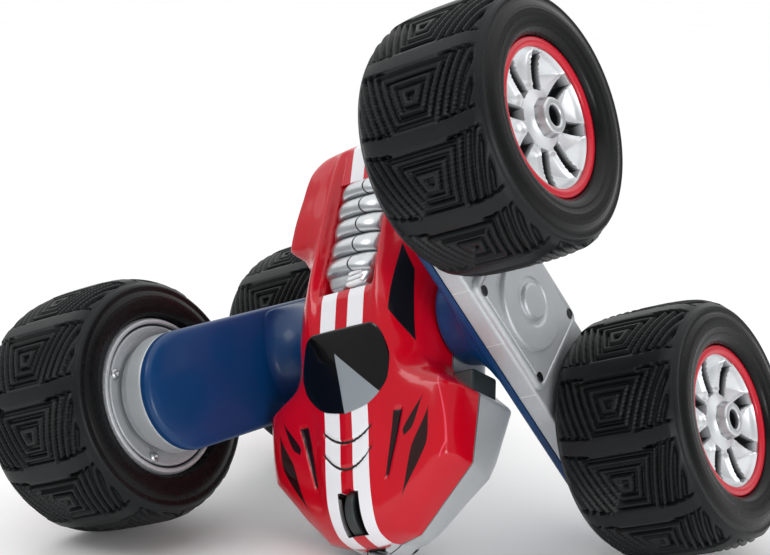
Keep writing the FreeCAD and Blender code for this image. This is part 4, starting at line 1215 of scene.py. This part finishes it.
def visor_black():
    paint = Paint("visor_black", coat_weight=0.3, coat_roughness=0.03, specular_ior_level=0.25)
    reach = -21.9 - paint.y
    left = paint.x + 3.3 - 0.125 * reach
    right = 1.14 * reach - paint.x - 3.3
    wedge = left.fade(-0.1, 0.15) * right.fade(-0.1, 0.15)
    cloud = paint.noise(12.0, 2.0)
    fine = paint.noise(0.6, 2.0)
    tone = paint.mix(cloud, srgb(3, 3, 5), srgb(9, 9, 11))
    grey = paint.mix(cloud * 0.5 + fine * 0.5, srgb(128, 136, 142), srgb(146, 154, 160))
    paint.set(base_color=paint.mix(wedge, tone, grey))
    paint.set(roughness=0.14 + 0.22 * wedge + 0.03 * fine)
    paint.relief(wedge * 0.03 + fine * 0.003)
    return paint.material


VISOR_BLACK = visor_black()

ENGINE_FRONT = 8.2
ENGINE_BACK = 67.8
RIB_PITCH = 10.4
FIRST_RIB = 21.0


def engine_height(x, y):
    rib = np.mod((y - FIRST_RIB) / RIB_PITCH + 0.5, 1) - 0.5
    ribbed = smoothstep(15.5, 16.5, y) * (1 - smoothstep(66.5, 67.5, y))
    bulge = np.sqrt(np.clip(1 - (2.02 * rib) ** 2, 0, 1)) * 3.6 * ribbed
    base = blend_curve([8, 14, 27, 48, 60, 68], [36.6, 36.4, 33.2, 30.2, 28.4, 26.6], y.ravel())
    crown = (1 - np.abs(x / 15.6) ** 3.2) * 3.2
    ends = -2.6 * (1 - smoothstep(8.2, 10.6, y)) - 2.4 * smoothstep(66.0, 67.8, y)
    return base.reshape(y.shape) + crown - 1.2 + bulge * (1 - 0.35 * (x / 15) ** 2) + ends


def make_engine():
    y = even([(ENGINE_FRONT,), (ENGINE_BACK,)], 0.45)[:, 0]
    stations = [ENGINE_FRONT, 9.5, 14, 20, 60, 65, ENGINE_BACK]
    half = blend_curve(stations, [7.0, 9.5, 12.6, 14.5, 14.0, 11.5, 8.0], y)
    share = np.linspace(-1, 1, 90)
    x = half[:, None] * share
    yy = y[:, None] + 0 * x
    z = engine_height(x, yy)
    z = z - 2.2 * (np.abs(share) ** 14)[None]
    outer = np.stack([x, yy, z], -1)
    inner = outer.copy()
    inner[..., 2] = 24.0
    body = Body().slab(outer, inner)
    for k in range(3):
        line = fillet([(0.9, 0), (0.7, 1.0), (-0.7, 1.0), (-0.9, 0)], 0.5)
        rows = []
        for share in np.linspace(0, 1, 24):
            fx = 1.2 + 8.0 * share
            top = 40.6 - 0.55 * k - 0.012 * fx * fx
            tip = 1 - 0.5 * abs(2 * share - 1) ** 8
            fy = 9.8 + 2.7 * k + 1.4 * share + line[:, 0] * tip
            fz = top - 1.6 + 1.6 * line[:, 1] * tip
            rows.append(np.stack([np.full(len(line), fx), fy, fz], 1))
        top = np.array(rows)
        low = top.copy()
        low[..., 2] = 34.0
        body.slab(top, low, 1)
    mesh = make_mesh("engine_block", body, FUSELAGE, 45)
    show(mesh, [ENGINE_SILVER, FIN_WHITE], "fuselage", "engine_silver", "engine_cover")


def engine_silver():
    paint = Paint("engine_silver", metallic=0.9)
    rib = ((paint.y - FIRST_RIB) / RIB_PITCH + 0.5) % 1.0 - 0.5
    arc = 1.0 - (rib * 2.0) ** 2.0
    arc = (arc | 0.0) ** 0.5
    # The sunk curved line on each rib and the valleys between the ribs are painted dark grey: painted shade.
    line = abs(paint.x - 6.4 + 4.6 * arc).fade(0.5, 0.25) * paint.y.fade(14.0, 17.0)
    valley_shade = abs(rib).fade(0.4, 0.5) * 0.75 * paint.y.fade(15.0, 17.0)
    cloud = paint.noise(5.0, 2.0)
    fine = paint.noise(0.4, 2.0)
    tone = paint.mix(cloud, srgb(176, 180, 184), srgb(208, 212, 214))
    paint.set(base_color=paint.mix(line | valley_shade, tone, srgb(48, 52, 56)))
    paint.set(roughness=0.24 + 0.1 * fine + 0.2 * valley_shade)
    paint.relief(fine * 0.015 - line * 0.4)
    return paint.material


ENGINE_SILVER = engine_silver()
FIN_WHITE = plastic("fin_white", srgb(228, 230, 232), srgb(244, 245, 246), 0.3, 0.02, 0.6, True)


def make_roller(name, y, z, radius, node):
    """Ribbed roller with stepped, recessed sides."""
    half = 4.8
    side = [(half, 1.6), (half, 0.55 * radius), (half - 1.6, 0.6 * radius),
            (half - 1.8, 0.74 * radius), (half - 1.3, 0.78 * radius), (half - 1.3, 0.9 * radius),
            (half - 1.9, 0.96 * radius), (half - 2.5, radius)]
    core = [(1.2, radius), (1.8, 0.95 * radius), (1.8, 0.84 * radius), (1.2, 0.8 * radius),
            (1.2, 0.56 * radius), (half, 0.52 * radius), (half, 1.6)]
    line = [(-x, r) for x, r in side] + core + [(-half, 1.6)]
    grid = lathe(fillet(line, 0.5), 128, y, z)
    body = Body().add(grid, 0, round_v=True)
    mesh = make_mesh(name, body, FUSELAGE, 45)
    show(mesh, [roller_dark(name + "_rubber", y, z, radius)], node, "roller", node)


def roller_dark(name, y, z, radius):
    paint = Paint(name)
    away = paint.away(y, z)
    core = away.fade(0.72 * radius, 0.66 * radius)
    cloud = paint.noise(4.0, 3.0)
    fine = paint.noise(0.5, 2.0)
    tone = paint.mix(cloud * 0.5 + fine * 0.5, srgb(34, 39, 39), srgb(50, 56, 56))
    paint.set(base_color=paint.mix(core, tone, srgb(12, 13, 14)))
    paint.set(roughness=0.42 + 0.14 * fine)
    paint.relief(fine * 0.04)
    return paint.material


def make_flank_blocks():
    """Dark block behind each of the hood's corners."""
    line = fillet([(5.4, 34), (0, 34), (0, 50.6), (5.4, 50.6)], 0.9)
    body = Body()
    for sign in (-1, 1):
        block = square_sweep(line, 5.4, 9.0, 1.4) * (sign, 1, 1)
        body.add(block + (0, -34.2, 0.0), 0, round_v=True)
    mesh = make_mesh("flank_rubber", body, FUSELAGE, 40)
    dark = plastic("flank_dark", srgb(26, 32, 34), srgb(44, 52, 55), 0.45, 0.06, 0.7, True)
    show(mesh, [dark], "fuselage", "dark_rubber", "flank_blocks")


def make_nose_lip():
    """Silver lip under the nose, with a small peak each side of the roller slot."""
    body = Body()
    for sign in (-1, 1):
        x = np.linspace(6.3, 23.0, 34)
        share = (x - 6.3) / 16.7
        front = -105.9 + 13.6 * share ** 1.4
        top = 8.4 + 3.0 * np.exp(-((x - 12.0) / 2.4) ** 2) - 2.0 * share
        low = -6.0 + 2.0 * share
        line = fillet([(0.6, 0.0), (0.0, 0.25), (0.0, 0.75), (0.9, 1.0), (2.6, 1.0), (2.6, 0.0),
                       (0.6, 0.0)], 0.2)
        rows = []
        for xx, lead, high, foot in zip(x, front, top, low):
            rise = foot + (high - foot) * line[:, 1]
            rows.append(np.stack([np.full(len(line), sign * xx), lead + line[:, 0], rise], 1))
        grid = np.array(rows)
        body.add(grid, 0)
        for ring in (grid[0], grid[-1]):
            body.add(np.stack([ring, np.broadcast_to(ring.mean(0), ring.shape)]), 0)
    mesh = make_mesh("nose_lip_silver", body, FUSELAGE, 40)
    show(mesh, [SKIRT_SILVER], "fuselage", "silver_plastic", "nose_lip")


# ---- all pieces ---------------------------------------------------------------------------------

for side in ("left", "right"):
    for end in ("front", "rear"):
        make_tyre(side, end)
        make_rim(side, end)
        make_ring(side, end)
        make_back_plate(side, end)
        make_wheel_screws(side, end)
    make_outer_cover(side)
    make_inner_cover(side)
make_upper_shell()
make_lower_shell()
make_canopy()
make_engine()
make_nose_lip()
make_flank_blocks()
make_roller("nose_wheel", y=-88.0, z=14.5, radius=12.7, node="nose_roller")
make_roller("chin_wheel", y=-92.0, z=-14.0, radius=9.0, node="chin_roller")

SLOTS = {part["node"]: part["material_slot"] for part in frame["record"]["subparts"]}
FINISH["silver_plastic"] = plastic(
    "silver_door", srgb(164, 170, 173), srgb(188, 193, 196), 0.4, 0.04, 0.8, metal=0.5
)
for node, piece in frame["nodes"].items():
    if piece.hide_render:
        continue
    piece.data.materials.clear()
    piece.data.materials.append(FINISH[SLOTS[node]])
    soften = piece.modifiers.new("soft_edges", "BEVEL")
    soften.width = 0.15 * MM
    soften.segments = 1
    soften.limit_method = "ANGLE"

# ---- floor, light and camera --------------------------------------------------------------------

floor_mesh = bpy.data.meshes.new("studio_floor")
floor_mesh.from_pydata([(-30, -30, 0), (30, -30, 0), (30, 30, 0), (-30, 30, 0)], [], [(0, 1, 2, 3)])
floor = bpy.data.objects.new("studio_floor", floor_mesh)
bpy.context.scene.collection.objects.link(floor)
paper = Paint("studio_paper", own=False, roughness=0.9)
paper.set(base_color=paper.mix(paper.noise(300.0, 2.0), srgb(248, 248, 248), srgb(252, 252, 252)))
floor_mesh.materials.append(paper.material)

world = bpy.data.worlds.new("studio")
world.use_nodes = True
sky_glow = world.node_tree.nodes["Background"]
sky_glow.inputs["Color"].default_value = (1.0, 1.0, 1.0, 1.0)
sky_glow.inputs["Strength"].default_value = 0.42
bpy.context.scene.world = world


def softbox(name, at, target, width, height, power):
    data = bpy.data.lights.new(name, "AREA")
    data.shape = "RECTANGLE"
    data.size = width
    data.size_y = height
    data.energy = power
    lamp = bpy.data.objects.new(name, data)
    lamp.location = at
    aim = Vector(target) - Vector(at)
    lamp.rotation_euler = aim.to_track_quat("-Z", "Y").to_euler()
    bpy.context.scene.collection.objects.link(lamp)


softbox("key_light", (-0.5, -0.9, 1.1), (0, 0, 0.1), width=0.5, height=0.5, power=3.0)
softbox("side_light", (1.1, -0.6, 0.25), (0, 0, 0.08), width=0.5, height=0.4, power=5.0)
sky = bpy.data.lights.new("overhead_light", "SUN")
sky.energy = 2.1
sky.angle = math.radians(120)
overhead = bpy.data.objects.new("overhead_light", sky)
overhead.rotation_euler = (math.radians(-18), math.radians(-12), 0)
bpy.context.scene.collection.objects.link(overhead)

camera_data = bpy.data.cameras.new("camera")
camera_data.lens = 82.76
camera_data.sensor_width = 36.0
camera = bpy.data.objects.new("camera", camera_data)
camera.location = (0.43989, -0.65983, 0.27161)
camera.rotation_euler = (math.radians(79.231), math.radians(-1.122), math.radians(35.059))
bpy.context.scene.collection.objects.link(camera)
bpy.context.scene.camera = camera
bpy.context.scene.view_settings.view_transform = "Standard"
